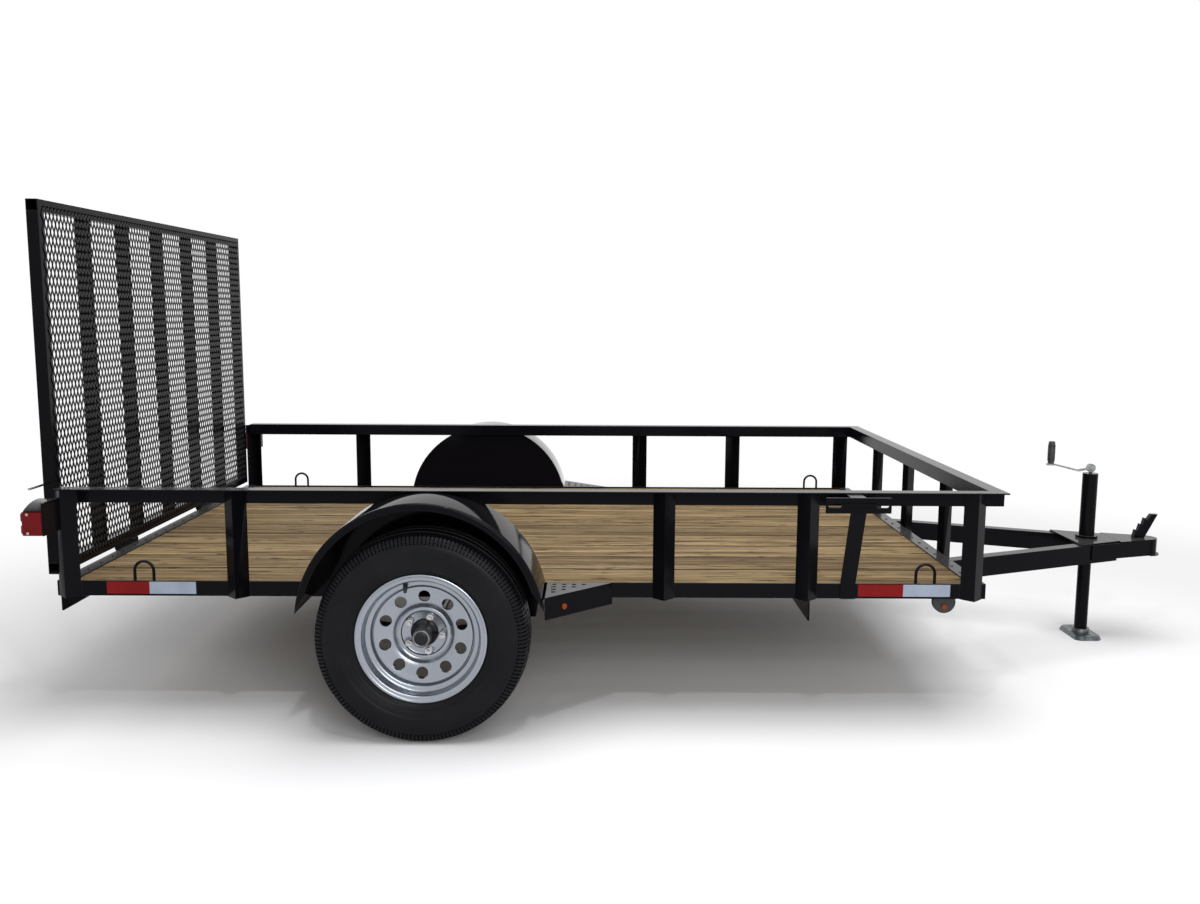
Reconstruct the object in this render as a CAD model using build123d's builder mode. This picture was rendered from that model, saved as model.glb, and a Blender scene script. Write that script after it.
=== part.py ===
"""Open single-axle utility trailer with an upright ramp gate at its rear, parked on its jack.

Millimetres. X runs forward to the hitch, Y to the trailer's left, Z up from the ground.
"""
import os
from math import cos, radians, sqrt, tan

from build123d import *

os.makedirs("parts", exist_ok=True)

# Stance and bed
tyre_radius = 338.0
tyre_width = 205.0
tyre_wall = 13.0
tread_half = 84.0
tread_drop = 12.0
shoulder_inset = 5.0
shoulder_drop = 34.0
bead_rise = 3.0
frame_top = 466.0
bed_length = 3048.0
bed_width = 1920.0
axle_from_rear = 1222.0

# Rolled angle that makes the frame, the rails and the posts
angle_leg = 50.8
angle_wall = 4.8
rail_rise = 310.0
rail_rear_setback = 30.0
posts_from_rear = (44.0, 594.0)
posts_from_front = (1062.0, 593.0, 50.0)
front_post_count = 3

# Deck
board_thickness = 25.4
board_count = 10
board_gap = 4.5
board_end_gap = 3.0
deck_side_gap = 12.0
cross_member_count = 7
cross_member_inset = 45.0

# Tongue, coupler and the beams below the frame
tongue_height = 76.2
tongue_width = 50.8
tongue_wall = 5.0
tongue_half_angle = 23.0
tongue_apex_setback = 31.0
tongue_end_setback = 150.0
tongue_beam_setback = 578.0
beam_flange = 38.0
beam_wall = 6.0
rear_beam_place = 10.0
nose_reach = 1075.0
coupler_lip = 10.0
coupler_lip_height = 5.0
coupler_nose_radius = 47.0
coupler_nose_round = 14.0
coupler_wall = 6.0
coupler_skirt = 62.0
coupler_overlap = 132.0
ball_radius = 25.4
ball_clearance = 0.6
ball_drop = 40.0
latch_setback = 53.0
latch_sheet = 22.0
latch_foot = 46.0
latch_lean = 50.0
latch_rise = 100.0
latch_tip = 26.0
latch_teeth = 4
latch_tooth_depth = 9.0

# Jack
jack_setback = 245.0
jack_tube_radius = 30.2
jack_leg_radius = 25.4
jack_fit = 0.4
jack_tube_top = 692.0
jack_tube_bottom = 315.0
jack_leg_overlap = 85.0
jack_plate_setback = 88.0
jack_plate_reach = 102.0
jack_plate_thickness = 6.0
jack_collar_radius = 43.0
jack_collar_height = 10.0
jack_cap_height = 14.0
foot_length = 112.0
foot_width = 184.0
foot_height = 18.0
foot_sheet = 5.0
foot_corner = 18.0
foot_taper = 24.0
foot_slot_length = 34.0
foot_slot_width = 9.0
foot_slot_pitch = 122.0
foot_cup_radius = 34.0
foot_cup_rise = 14.0
crank_reach = 168.0
crank_dip_reach = 53.0
crank_dip_rise = 11.0
crank_tip_rise = 36.0
crank_eye_radius = 17.0
crank_eye_rise = 22.0
crank_rod_radius = 7.0
crank_bar_width = 18.0
crank_bar_height = 7.0
grip_height = 93.0
grip_radius = 15.0
grip_end_radius = 12.5
grip_end_bevel = 3.0

# Fenders and steps
fender_radius = 386.0
fender_width = 240.0
fender_sheet = 3.0
fender_lip = 24.0
fender_end_drop = 41.0
fender_front_rise = 10.0
fender_lip_rise = 62.0
fender_fit = 0.4
step_length = 214.0
step_depth = 195.0
step_face = 72.0
step_sheet = 4.0
step_hole_radius = 7.0
step_hole_pitch = 32.0
step_hole_margin = 24.0
step_hole_rows = 4
step_marker_drop = 40.0

# Axle, springs and wheels
wheel_gap = 30.0
axle_radius = 30.0
spindle_radius = 17.0
bearing_fit = 0.4
spring_width = 44.0
spring_half_span = 330.0
spring_camber = 68.0
leaf_thickness = 7.0
leaf_shares = (1.0, 0.76, 0.54, 0.34)
spring_inset = 30.0
perch_height = 8.0
perch_half_length = 32.0
spring_eye_radius = 15.0
spring_pin_radius = 8.0
pin_fit = 0.4
hanger_plate = 6.0
hanger_half_width = 26.0
hanger_gap = 1.0
clamp_plate = 8.0
clamp_half_length = 58.0
clamp_rod_radius = 6.0
clamp_rod_clear = 0.4
clamp_rod_end = 14.0
rim_flange_radius = 206.0
rim_bead_radius = 190.0
rim_well_radius = 168.0
rim_half_width = 84.0
rim_wall = 5.0
rim_disc_radius = 160.0
rim_pad_radius = 84.0
rim_bore_radius = 42.0
rim_hole_radius = 19.0
rim_hole_circle = 125.0
rim_hole_count = 10
rim_hole_turn = 15.5
rim_dish = 22.0
rim_crown = 14.0
rim_shoulder = 14.0
hub_flange_radius = 76.0
hub_flange_thickness = 10.0
hub_barrel_radius = 38.0
hub_barrel_length = 62.0
cap_radius = 28.0
cap_length = 76.0

# Lamps
lamp_place = 38.0
lamp_width = 104.0
lamp_depth = 70.0
lamp_height = 77.0
lamp_rise = 178.0
lamp_gap = 3.0
lamp_corner = 7.0
bracket_plate = 6.0
bracket_height = 105.0
hood_sheet = 3.0
hood_depth = 56.0
hood_rise = 22.0
hood_crown = 0.6
hood_crown_rise = 18.0
marker_setback = 123.0
marker_radius = 38.0
marker_drop = 20.0
marker_lens_radius = 9.0
marker_lens_drop = 36.0
marker_depth = 16.0
marker_inset = 34.0
step_marker_radius = 9.0
step_marker_depth = 5.0
step_marker_share = 0.27

# Tie-down loops
loop_rear_place = 282.0
loop_front_setback = 198.0
loop_rod_radius = 5.0
loop_half_width = 31.0
loop_rise = 68.0

# Spare wheel carrier, on the right side only
carrier_setback = 456.0
carrier_bar = 50.0
carrier_sheet = 6.0
carrier_lean = 60.0
carrier_plate_length = 207.0
carrier_slot_length = 42.0
carrier_slot_width = 14.0
carrier_slot_pitch = 150.0

# Ramp gate
gate_overlap = 8.0
gate_bar = 38.1
gate_wall = 3.0
gate_side_gap = 8.0
gate_height = 1206.0
gate_sill_rise = 18.0
gate_bar_count = 7
mesh_sheet = 3.0
mesh_columns = 5
mesh_rows = 10
mesh_strand = 7.0
hinge_drop = 18.0
hinge_setback = 13.0
hinge_places = (-406.0, 406.0)
hinge_lug = 49.0
hinge_lug_radius = 12.5
hinge_lug_gap = 1.0
hinge_pin_radius = 8.0
hinge_fit = 0.4

# Places that follow from the driving dimensions
half_width = bed_width / 2
deck_height = frame_top - angle_wall
rear_reach = max(gate_bar - gate_overlap, lamp_depth - lamp_place)
overall_length = rear_reach + bed_length + nose_reach
bed_rear = rear_reach - overall_length / 2
bed_front = bed_rear + bed_length
frame_bottom = frame_top - angle_leg
flange_top = frame_bottom + angle_wall
rail_top = frame_top + rail_rise
rail_low = rail_top - angle_leg
inner_half = half_width - angle_wall
flange_edge = inner_half + angle_leg
axle_x = bed_rear + axle_from_rear
axle_height = tyre_radius
wheel_y = half_width + wheel_gap + tyre_width / 2
board_bottom = deck_height - board_thickness
sides = (("right", -1), ("left", 1))


def save(builder, label):
    """Label a finished piece and write it to a file of its own."""
    builder.part.label = label
    export_step(builder.part, f"parts/{label}.step")


def across(y):
    """Plane at a given Y whose sketch axes are X and Z, facing the trailer's right."""
    return Plane.XZ.offset(-y)


# Frame: two side angles, legs outside and flanges below, turned inwards
with BuildPart() as frame_sides:
    for out in (-1, 1):
        with BuildSketch(Plane.YZ.offset(bed_rear)):
            with BuildLine():
                Polyline(
                    (out * half_width, frame_bottom),
                    (out * half_width, frame_top),
                    (out * inner_half, frame_top),
                    (out * inner_half, flange_top),
                    (out * (half_width - angle_leg), flange_top),
                    (out * (half_width - angle_leg), frame_bottom),
                    close=True,
                )
            make_face()
        extrude(amount=bed_length)
save(frame_sides, "frame_sides")

# Frame: the two end angles, coped over the side flanges, with their own flanges over the boards
for end, face_x, inward in (("front", bed_front, -1), ("rear", bed_rear, 1)):
    with BuildPart() as frame_end:
        with BuildSketch(Plane.XY.offset(frame_bottom)):
            with Locations((face_x + inward * angle_wall / 2, 0)):
                Rectangle(angle_wall, 2 * (half_width - angle_leg))
        extrude(amount=angle_leg)
        with BuildSketch(Plane.XY.offset(flange_top)):
            with Locations((face_x + inward * angle_wall / 2, 0)):
                Rectangle(angle_wall, 2 * inner_half)
        extrude(amount=angle_leg - angle_wall)
        with BuildSketch(Plane.XY.offset(deck_height)):
            with Locations((face_x + inward * angle_leg / 2, 0)):
                Rectangle(angle_leg, 2 * inner_half)
        extrude(amount=angle_wall)
    save(frame_end, f"frame_{end}")

# Cross members: light angles that rest on the side flanges and carry the boards
cross_pitch = (bed_length - 2 * cross_member_inset) / (cross_member_count - 1)
with BuildPart() as cross_members:
    for index in range(cross_member_count):
        cross_x = bed_rear + cross_member_inset + index * cross_pitch
        toe_x = cross_x - angle_leg / 2
        with BuildSketch(across(-inner_half)):
            with BuildLine():
                Polyline(
                    (toe_x, board_bottom),
                    (toe_x + angle_leg, board_bottom),
                    (toe_x + angle_leg, board_bottom - angle_wall),
                    (toe_x + angle_wall, board_bottom - angle_wall),
                    (toe_x + angle_wall, flange_top),
                    (toe_x, flange_top),
                    close=True,
                )
            make_face()
        extrude(amount=-2 * inner_half)
save(cross_members, "cross_members")

# Deck: boards laid lengthwise inside the frame
deck_half = inner_half - deck_side_gap
board_pitch = (2 * deck_half + board_gap) / board_count
board_length = bed_length - 2 * (angle_wall + board_end_gap)
with BuildPart() as deck_boards:
    with BuildSketch(Plane.XY.offset(board_bottom)):
        with Locations((bed_rear + bed_length / 2, 0)):
            with GridLocations(0, board_pitch, 1, board_count):
                Rectangle(board_length, board_pitch - board_gap)
    extrude(amount=board_thickness)
save(deck_boards, "deck_boards")

# Rails: side angles with the flange on top turned outwards, and a front angle between them
rail_rear = bed_rear + rail_rear_setback
rail_front = bed_front - angle_wall + angle_leg
with BuildPart() as rail_sides:
    for out in (-1, 1):
        with BuildSketch(Plane.YZ.offset(rail_rear)):
            with BuildLine():
                Polyline(
                    (out * inner_half, rail_low),
                    (out * inner_half, rail_top),
                    (out * flange_edge, rail_top),
                    (out * flange_edge, rail_top - angle_wall),
                    (out * half_width, rail_top - angle_wall),
                    (out * half_width, rail_low),
                    close=True,
                )
            make_face()
        extrude(amount=rail_front - rail_rear)
save(rail_sides, "rail_sides")

with BuildPart() as rail_end:
    with BuildSketch(across(-inner_half)):
        with BuildLine():
            Polyline(
                (bed_front - angle_wall, rail_low),
                (bed_front - angle_wall, rail_top),
                (rail_front, rail_top),
                (rail_front, rail_top - angle_wall),
                (bed_front, rail_top - angle_wall),
                (bed_front, rail_low),
                close=True,
            )
        make_face()
    extrude(amount=-2 * inner_half)
save(rail_end, "rail_front")

# Posts: the same angle set on edge, toes against frame and rail, heel outwards
post_half = angle_leg / sqrt(2)
toe_set = angle_wall / sqrt(2)
post_height = rail_top - angle_wall - frame_bottom
post_heel = post_half + toe_set
post_profile = (
    (post_half, toe_set),
    (0, post_heel),
    (-post_half, toe_set),
    (toe_set - post_half, 0),
    (0, post_heel - angle_wall * sqrt(2)),
    (post_half - toe_set, 0),
)
side_posts = [bed_rear + place for place in posts_from_rear]
side_posts += [bed_front - setback for setback in posts_from_front]
with BuildPart() as posts_sides:
    for out in (-1, 1):
        for post_x in side_posts:
            with BuildSketch(Plane.XY.offset(frame_bottom)):
                with BuildLine():
                    Polyline(*[(post_x + u, out * (half_width + v)) for u, v in post_profile], close=True)
                make_face()
            extrude(amount=post_height)
save(posts_sides, "posts_sides")

front_post_pitch = bed_width / (front_post_count + 1)
with BuildPart() as posts_front:
    for index in range(front_post_count):
        post_y = (index - (front_post_count - 1) / 2) * front_post_pitch
        with BuildSketch(Plane.XY.offset(frame_bottom)):
            with BuildLine():
                Polyline(*[(bed_front + v, post_y + u) for u, v in post_profile], close=True)
            make_face()
        extrude(amount=post_height)
save(posts_front, "posts_front")

# Beams under the frame: a deep one that the tongue butts against and a lower one at the rear
tongue_bottom = frame_bottom - tongue_height
tongue_rear = bed_front - tongue_beam_setback
beams = (
    # the web's open face, which way its flange turns, web height
    (tongue_rear, -1, tongue_height),
    (bed_rear + rear_beam_place, 1, angle_leg),
)
with BuildPart() as under_beams:
    for web_x, turn, height in beams:
        with BuildSketch(across(-half_width)):
            with BuildLine():
                Polyline(
                    (web_x, frame_bottom),
                    (web_x + turn * beam_flange, frame_bottom),
                    (web_x + turn * beam_flange, frame_bottom - beam_wall),
                    (web_x + turn * beam_wall, frame_bottom - beam_wall),
                    (web_x + turn * beam_wall, frame_bottom - height),
                    (web_x, frame_bottom - height),
                    close=True,
                )
            make_face()
        extrude(amount=-bed_width)
save(under_beams, "under_beams")

# Tongue: two tubes that run from the deep beam and close in on the coupler
nose_x = bed_front + nose_reach
ball_x = nose_x - coupler_lip - coupler_nose_radius
tongue_apex = ball_x - tongue_apex_setback
tongue_front = ball_x - tongue_end_setback
tongue_slope = tan(radians(tongue_half_angle))
tube_half = tongue_width / 2 / cos(radians(tongue_half_angle))
bore_half = tube_half - tongue_wall / cos(radians(tongue_half_angle))


def tongue_line(x):
    """Distance of a tongue tube's centre line from the middle at a given X."""
    return (tongue_apex - x) * tongue_slope


with BuildPart() as tongue_tubes:
    for out in (-1, 1):
        with BuildSketch(Plane.XY.offset(tongue_bottom)):
            with BuildLine():
                Polyline(
                    (tongue_rear, out * (tongue_line(tongue_rear) - tube_half)),
                    (tongue_front, out * (tongue_line(tongue_front) - tube_half)),
                    (tongue_front, out * (tongue_line(tongue_front) + tube_half)),
                    (tongue_rear, out * (tongue_line(tongue_rear) + tube_half)),
                    close=True,
                )
            make_face()
        extrude(amount=tongue_height)
        with BuildSketch(Plane.XY.offset(tongue_bottom + tongue_wall)):
            with BuildLine():
                Polyline(
                    (tongue_rear, out * (tongue_line(tongue_rear) - bore_half)),
                    (tongue_front, out * (tongue_line(tongue_front) - bore_half)),
                    (tongue_front, out * (tongue_line(tongue_front) + bore_half)),
                    (tongue_rear, out * (tongue_line(tongue_rear) + bore_half)),
                    close=True,
                )
            make_face()
        extrude(amount=tongue_height - 2 * tongue_wall, mode=Mode.SUBTRACT)
save(tongue_tubes, "tongue_tubes")

# Coupler: a pressed cap over the tongue's ends with a ball socket in its nose
ball_z = frame_bottom - ball_drop
coupler_top = frame_bottom + coupler_wall
skirt_low = frame_bottom - coupler_skirt
skirt_rear = tongue_front - coupler_overlap
jack_x = ball_x - jack_setback
plate_front = jack_x + jack_plate_reach
nose_inner = coupler_nose_radius - coupler_wall
skirt_half = tongue_line(skirt_rear) + tube_half + coupler_wall


def coupler_outline(reach, radius):
    """Corners of the coupler in plan: its rear end, the start of its nose and the tip."""
    rear_half = tongue_line(skirt_rear) + tube_half + reach
    return (
        (skirt_rear, -rear_half),
        (ball_x, -radius),
        (ball_x + radius, 0),
        (ball_x, radius),
        (skirt_rear, rear_half),
    )


with BuildPart() as coupler:
    for reach, radius, top, mode in (
        (coupler_wall, coupler_nose_radius, coupler_top, Mode.ADD),
        (0, nose_inner, frame_bottom, Mode.SUBTRACT),
    ):
        rear_low, nose_low, nose_tip, nose_high, rear_high = coupler_outline(reach, radius)
        with BuildSketch(Plane.XY.offset(skirt_low)):
            with BuildLine():
                Line(rear_low, nose_low)
                ThreePointArc(nose_low, nose_tip, nose_high)
                Polyline(nose_high, rear_high, rear_low)
            make_face()
        extrude(amount=top - skirt_low, mode=mode)
    with BuildSketch(Plane.XY.offset(frame_bottom)):
        with Locations(((skirt_rear + plate_front) / 2, 0)):
            Rectangle(plate_front - skirt_rear, 2 * skirt_half)
    extrude(amount=coupler_wall, mode=Mode.SUBTRACT)
    with BuildSketch(Plane.XY.offset(skirt_low)):
        with Locations((ball_x, 0)):
            Circle(nose_inner + coupler_wall / 2)
    extrude(amount=frame_bottom - skirt_low)
    with BuildSketch(Plane.XY.offset(skirt_low)):
        with Locations((ball_x, 0)):
            Circle(coupler_nose_radius + coupler_lip)
        with Locations((ball_x - coupler_nose_radius, 0)):
            Rectangle(2 * coupler_nose_radius, 4 * coupler_nose_radius, mode=Mode.SUBTRACT)
    extrude(amount=coupler_lip_height)
    nose_plane = Plane((ball_x, 0, coupler_top), x_dir=(0, -1, 0), z_dir=(1, 0, 0))
    with BuildSketch(nose_plane):
        with BuildLine():
            Polyline(
                (coupler_nose_radius, -coupler_nose_round),
                (coupler_nose_radius, 0),
                (coupler_nose_radius - coupler_nose_round, 0),
            )
            RadiusArc(
                (coupler_nose_radius - coupler_nose_round, 0),
                (coupler_nose_radius, -coupler_nose_round),
                coupler_nose_round,
            )
        make_face()
    revolve(axis=Axis((ball_x, 0, 0), (0, 0, 1)), revolution_arc=180, mode=Mode.SUBTRACT)
    with Locations((ball_x, 0, ball_z)):
        Sphere(ball_radius + ball_clearance, mode=Mode.SUBTRACT)
    with BuildSketch(Plane.XY.offset(skirt_low)):
        with Locations((ball_x, 0)):
            Circle(ball_radius + ball_clearance)
    extrude(amount=ball_z - skirt_low, mode=Mode.SUBTRACT)
save(coupler, "coupler")

# Coupler latch: a flat lever with a toothed back that leans over the ball
latch_rear = ball_x - latch_setback
latch_top = coupler_top + latch_rise
tooth_x = (latch_foot + latch_lean - latch_tip) / latch_teeth
tooth_z = latch_rise / latch_teeth
with BuildPart() as coupler_latch:
    with BuildSketch(across(latch_sheet / 2)):
        with BuildLine():
            back = [(latch_rear, coupler_top)]
            for index in range(1, latch_teeth):
                step_x = latch_rear + index * tooth_x
                step_z = coupler_top + index * tooth_z
                back.append((step_x - latch_tooth_depth, step_z + latch_tooth_depth))
                back.append((step_x, step_z))
            Polyline(
                *back,
                (latch_rear + latch_foot + latch_lean - latch_tip, latch_top),
                (latch_rear + latch_foot + latch_lean, latch_top),
                (latch_rear + latch_foot, coupler_top),
                close=True,
            )
        make_face()
    extrude(amount=latch_sheet)
save(coupler_latch, "coupler_latch")

# Jack: a plate on the tongue, an outer tube through it, and a leg that slides inside
plate_rear = jack_x - jack_plate_setback
plate_top = frame_bottom + jack_plate_thickness
with BuildPart() as jack_plate:
    with BuildSketch(Plane.XY.offset(frame_bottom)):
        with BuildLine():
            rear_half = tongue_line(plate_rear) + tube_half
            front_half = tongue_line(plate_front) + tube_half
            Polyline(
                (plate_rear, -rear_half),
                (plate_front, -front_half),
                (plate_front, front_half),
                (plate_rear, rear_half),
                close=True,
            )
        make_face()
        with Locations((jack_x, 0)):
            Circle(jack_tube_radius + jack_fit, mode=Mode.SUBTRACT)
    extrude(amount=jack_plate_thickness)
save(jack_plate, "jack_plate")

with BuildPart() as jack_tube:
    with BuildSketch(Plane.XY.offset(jack_tube_bottom)):
        with Locations((jack_x, 0)):
            Circle(jack_tube_radius)
    extrude(amount=jack_tube_top - jack_tube_bottom)
    with BuildSketch(Plane.XY.offset(plate_top)):
        with Locations((jack_x, 0)):
            Circle(jack_collar_radius)
    extrude(amount=jack_collar_height)
    with BuildSketch(Plane.XY.offset(jack_tube_bottom)):
        with Locations((jack_x, 0)):
            Circle(jack_leg_radius + jack_fit)
    extrude(amount=jack_tube_top - jack_cap_height - jack_tube_bottom, mode=Mode.SUBTRACT)
save(jack_tube, "jack_tube")

# Jack foot: a pressed pan, open below, with a cup for the leg and two slots
with BuildPart() as jack_foot:
    for inset, mode in ((0.0, Mode.ADD), (foot_sheet, Mode.SUBTRACT)):
        with BuildSketch(Plane.XY):
            with Locations((jack_x, 0)):
                Rectangle(foot_length - 2 * inset, foot_width - 2 * inset)
            chamfer(vertices(), length=foot_corner)
        extrude(amount=foot_height - inset, taper=foot_taper, mode=mode)
    with BuildSketch(Plane.XY.offset(foot_height - foot_sheet)):
        with Locations((jack_x, 0)):
            Circle(foot_cup_radius)
    extrude(amount=foot_sheet + foot_cup_rise)
    with BuildSketch(Plane.XY):
        with Locations((jack_x, 0)):
            with GridLocations(0, foot_slot_pitch, 1, 2):
                SlotOverall(foot_slot_length, foot_slot_width)
    extrude(amount=foot_height, mode=Mode.SUBTRACT)
save(jack_foot, "jack_foot")

leg_low = foot_height + foot_cup_rise
with BuildPart() as jack_leg:
    with BuildSketch(Plane.XY.offset(leg_low)):
        with Locations((jack_x, 0)):
            Circle(jack_leg_radius)
    extrude(amount=jack_tube_bottom + jack_leg_overlap - leg_low)
save(jack_leg, "jack_leg")

# Jack crank: an eye on the screw's end and a flat arm that dips past the tube and rises to the grip
crank_line = (
    # along the arm from its grip end, height above the tube
    (-crank_reach - grip_radius, crank_tip_rise),
    (grip_radius - crank_reach, crank_tip_rise),
    (-crank_dip_reach, crank_dip_rise),
    (0.0, crank_eye_rise),
)
with BuildPart() as jack_crank:
    with BuildSketch(Plane.XY.offset(jack_tube_top)):
        with Locations((jack_x, 0)):
            Circle(crank_rod_radius)
    extrude(amount=crank_eye_rise)
    with BuildSketch(across(crank_bar_width / 2)):
        with BuildLine():
            lower = [(jack_x + u, jack_tube_top + v - crank_bar_height / 2) for u, v in crank_line]
            upper = [(jack_x + u, jack_tube_top + v + crank_bar_height / 2) for u, v in crank_line]
            Polyline(*lower, *reversed(upper), close=True)
        make_face()
        with Locations((jack_x, jack_tube_top + crank_eye_rise)):
            Circle(crank_eye_radius)
    extrude(amount=crank_bar_width)
save(jack_crank, "jack_crank")

grip_x = jack_x - crank_reach
grip_low = jack_tube_top + crank_tip_rise + crank_bar_height / 2
grip_high = grip_low + grip_height
with BuildPart() as jack_grip:
    with BuildSketch(across(0)):
        with BuildLine():
            Polyline(
                (grip_x, grip_low),
                (grip_x + grip_end_radius - grip_end_bevel, grip_low),
                (grip_x + grip_end_radius, grip_low + grip_end_bevel),
                (grip_x + grip_radius, grip_low + grip_height / 2),
                (grip_x + grip_end_radius, grip_high - grip_end_bevel),
                (grip_x + grip_end_radius - grip_end_bevel, grip_high),
                (grip_x, grip_high),
                close=True,
            )
        make_face()
    revolve(axis=Axis((grip_x, 0, 0), (0, 0, 1)))
save(jack_grip, "jack_grip")

# Fenders: a rolled round sheet with a lip outside and a half disc against the frame
fender_z = rail_top - angle_wall - fender_fit - fender_radius
fender_end_z = frame_top - fender_end_drop


def fender_points(radius, lift):
    """Rear end, top and front end of a fender arc whose ends are lifted by the given height."""
    rear_z = fender_end_z + lift
    front_z = rear_z + fender_front_rise
    rear_half = sqrt(radius ** 2 - (rear_z - fender_z) ** 2)
    front_half = sqrt(radius ** 2 - (front_z - fender_z) ** 2)
    return ((axle_x - rear_half, rear_z), (axle_x, fender_z + radius), (axle_x + front_half, front_z))


for side, out in sides:
    with BuildPart() as fender:
        for inner_radius, lift, start, depth in (
            # inner radius of the arc, how far its ends are cut back, where it starts outwards, its depth
            (fender_radius - fender_sheet, 0.0, 0.0, fender_width),
            (fender_radius - fender_lip, fender_lip_rise, fender_width - fender_sheet, fender_sheet),
        ):
            outer_rear, outer_top, outer_front = fender_points(fender_radius, 0.0)
            inner_rear, inner_top, inner_front = fender_points(inner_radius, lift)
            with BuildSketch(across(out * (half_width + fender_fit + start))):
                with BuildLine():
                    ThreePointArc(outer_rear, outer_top, outer_front)
                    Line(outer_front, inner_front)
                    ThreePointArc(inner_front, inner_top, inner_rear)
                    Line(inner_rear, outer_rear)
                make_face()
            extrude(amount=-out * depth)
        with BuildSketch(across(out * (half_width + fender_fit))):
            with BuildLine():
                ThreePointArc(outer_rear, outer_top, outer_front)
                Line(outer_front, outer_rear)
            make_face()
        extrude(amount=-out * fender_sheet)
    save(fender, f"fender_{side}")

# Steps: a perforated triangle ahead of each fender with a folded face along its long side
step_rear = fender_points(fender_radius, 0.0)[2][0] + fender_fit
step_front = step_rear + step_length
step_inner = half_width
step_outer = half_width + step_depth
face_shift = step_sheet * sqrt(step_length ** 2 + step_depth ** 2)
with BuildPart() as steps:
    for out in (-1, 1):
        with BuildSketch(Plane.XY.offset(frame_top - step_sheet)):
            with BuildLine():
                Polyline(
                    (step_rear, out * step_inner),
                    (step_front, out * step_inner),
                    (step_rear, out * step_outer),
                    close=True,
                )
            make_face()
            for row in range(step_hole_rows):
                for column in range(step_hole_rows - row):
                    with Locations((
                        step_rear + step_hole_margin + column * step_hole_pitch,
                        out * (step_inner + step_hole_margin + row * step_hole_pitch),
                    )):
                        Circle(step_hole_radius, mode=Mode.SUBTRACT)
        extrude(amount=step_sheet)
        with BuildSketch(Plane.XY.offset(frame_top - step_face)):
            with BuildLine():
                Polyline(
                    (step_rear, out * step_outer),
                    (step_front, out * step_inner),
                    (step_front - face_shift / step_depth, out * step_inner),
                    (step_rear, out * (step_outer - face_shift / step_length)),
                    close=True,
                )
            make_face()
        extrude(amount=step_face)
save(steps, "steps")

# Axle: a round tube with a spindle at each end
spindle_end = wheel_y
hub_back = wheel_y - hub_flange_thickness - hub_barrel_length
with BuildPart() as axle:
    with BuildSketch(across(-hub_back + pin_fit)):
        with Locations((axle_x, axle_height)):
            Circle(axle_radius)
    extrude(amount=-2 * (hub_back - pin_fit))
    with BuildSketch(across(-spindle_end)):
        with Locations((axle_x, axle_height)):
            Circle(spindle_radius)
    extrude(amount=-2 * spindle_end)
save(axle, "axle")

# Springs: four stacked leaves slung below the axle and curved up to an eye at each end
spring_y = half_width - spring_inset
spring_top = axle_height - axle_radius - perch_height
spring_low = spring_top - len(leaf_shares) * leaf_thickness
leaf_radius = (spring_half_span ** 2 + spring_camber ** 2) / (2 * spring_camber)
leaf_centre = spring_top - leaf_thickness / 2 + leaf_radius
eye_z = leaf_centre - leaf_radius + spring_camber


def leaf_arc(radius, half_length):
    """Rear end, middle and front end of an arc of the leaves' circle."""
    end_z = leaf_centre - sqrt(radius ** 2 - half_length ** 2)
    return (axle_x - half_length, end_z), (axle_x, leaf_centre - radius), (axle_x + half_length, end_z)


with BuildPart() as springs:
    for out in (-1, 1):
        with BuildSketch(across(out * (spring_y - spring_width / 2))):
            for index, share in enumerate(leaf_shares):
                upper = leaf_arc(leaf_radius + (index - 0.5) * leaf_thickness, share * spring_half_span)
                lower = leaf_arc(leaf_radius + (index + 0.5) * leaf_thickness, share * spring_half_span)
                with BuildLine():
                    ThreePointArc(*upper)
                    Line(upper[2], lower[2])
                    ThreePointArc(*reversed(lower))
                    Line(lower[0], upper[0])
                make_face()
            with Locations((axle_x - spring_half_span, eye_z), (axle_x + spring_half_span, eye_z)):
                Circle(spring_eye_radius)
                Circle(spring_pin_radius + pin_fit, mode=Mode.SUBTRACT)
        extrude(amount=-out * spring_width)
save(springs, "springs")

# Spring hangers: a pair of cheeks below the frame at each eye, joined by its pin
cheek_inner = spring_width / 2 + hanger_gap
cheek_low = eye_z - spring_eye_radius
with BuildPart() as spring_hangers:
    for out in (-1, 1):
        for end in (-1, 1):
            eye_x = axle_x + end * spring_half_span
            for cheek in (-1, 1):
                start = out * spring_y + cheek * cheek_inner
                with BuildSketch(across(start)):
                    with BuildLine():
                        Polyline(
                            (eye_x - hanger_half_width, frame_bottom),
                            (eye_x + hanger_half_width, frame_bottom),
                            (eye_x + spring_eye_radius, cheek_low),
                            (eye_x - spring_eye_radius, cheek_low),
                            close=True,
                        )
                    make_face()
                extrude(amount=-cheek * hanger_plate)
            with BuildSketch(across(out * spring_y - cheek_inner - hanger_plate)):
                with Locations((eye_x, eye_z)):
                    Circle(spring_pin_radius)
            extrude(amount=-2 * (cheek_inner + hanger_plate))
save(spring_hangers, "spring_hangers")

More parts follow.
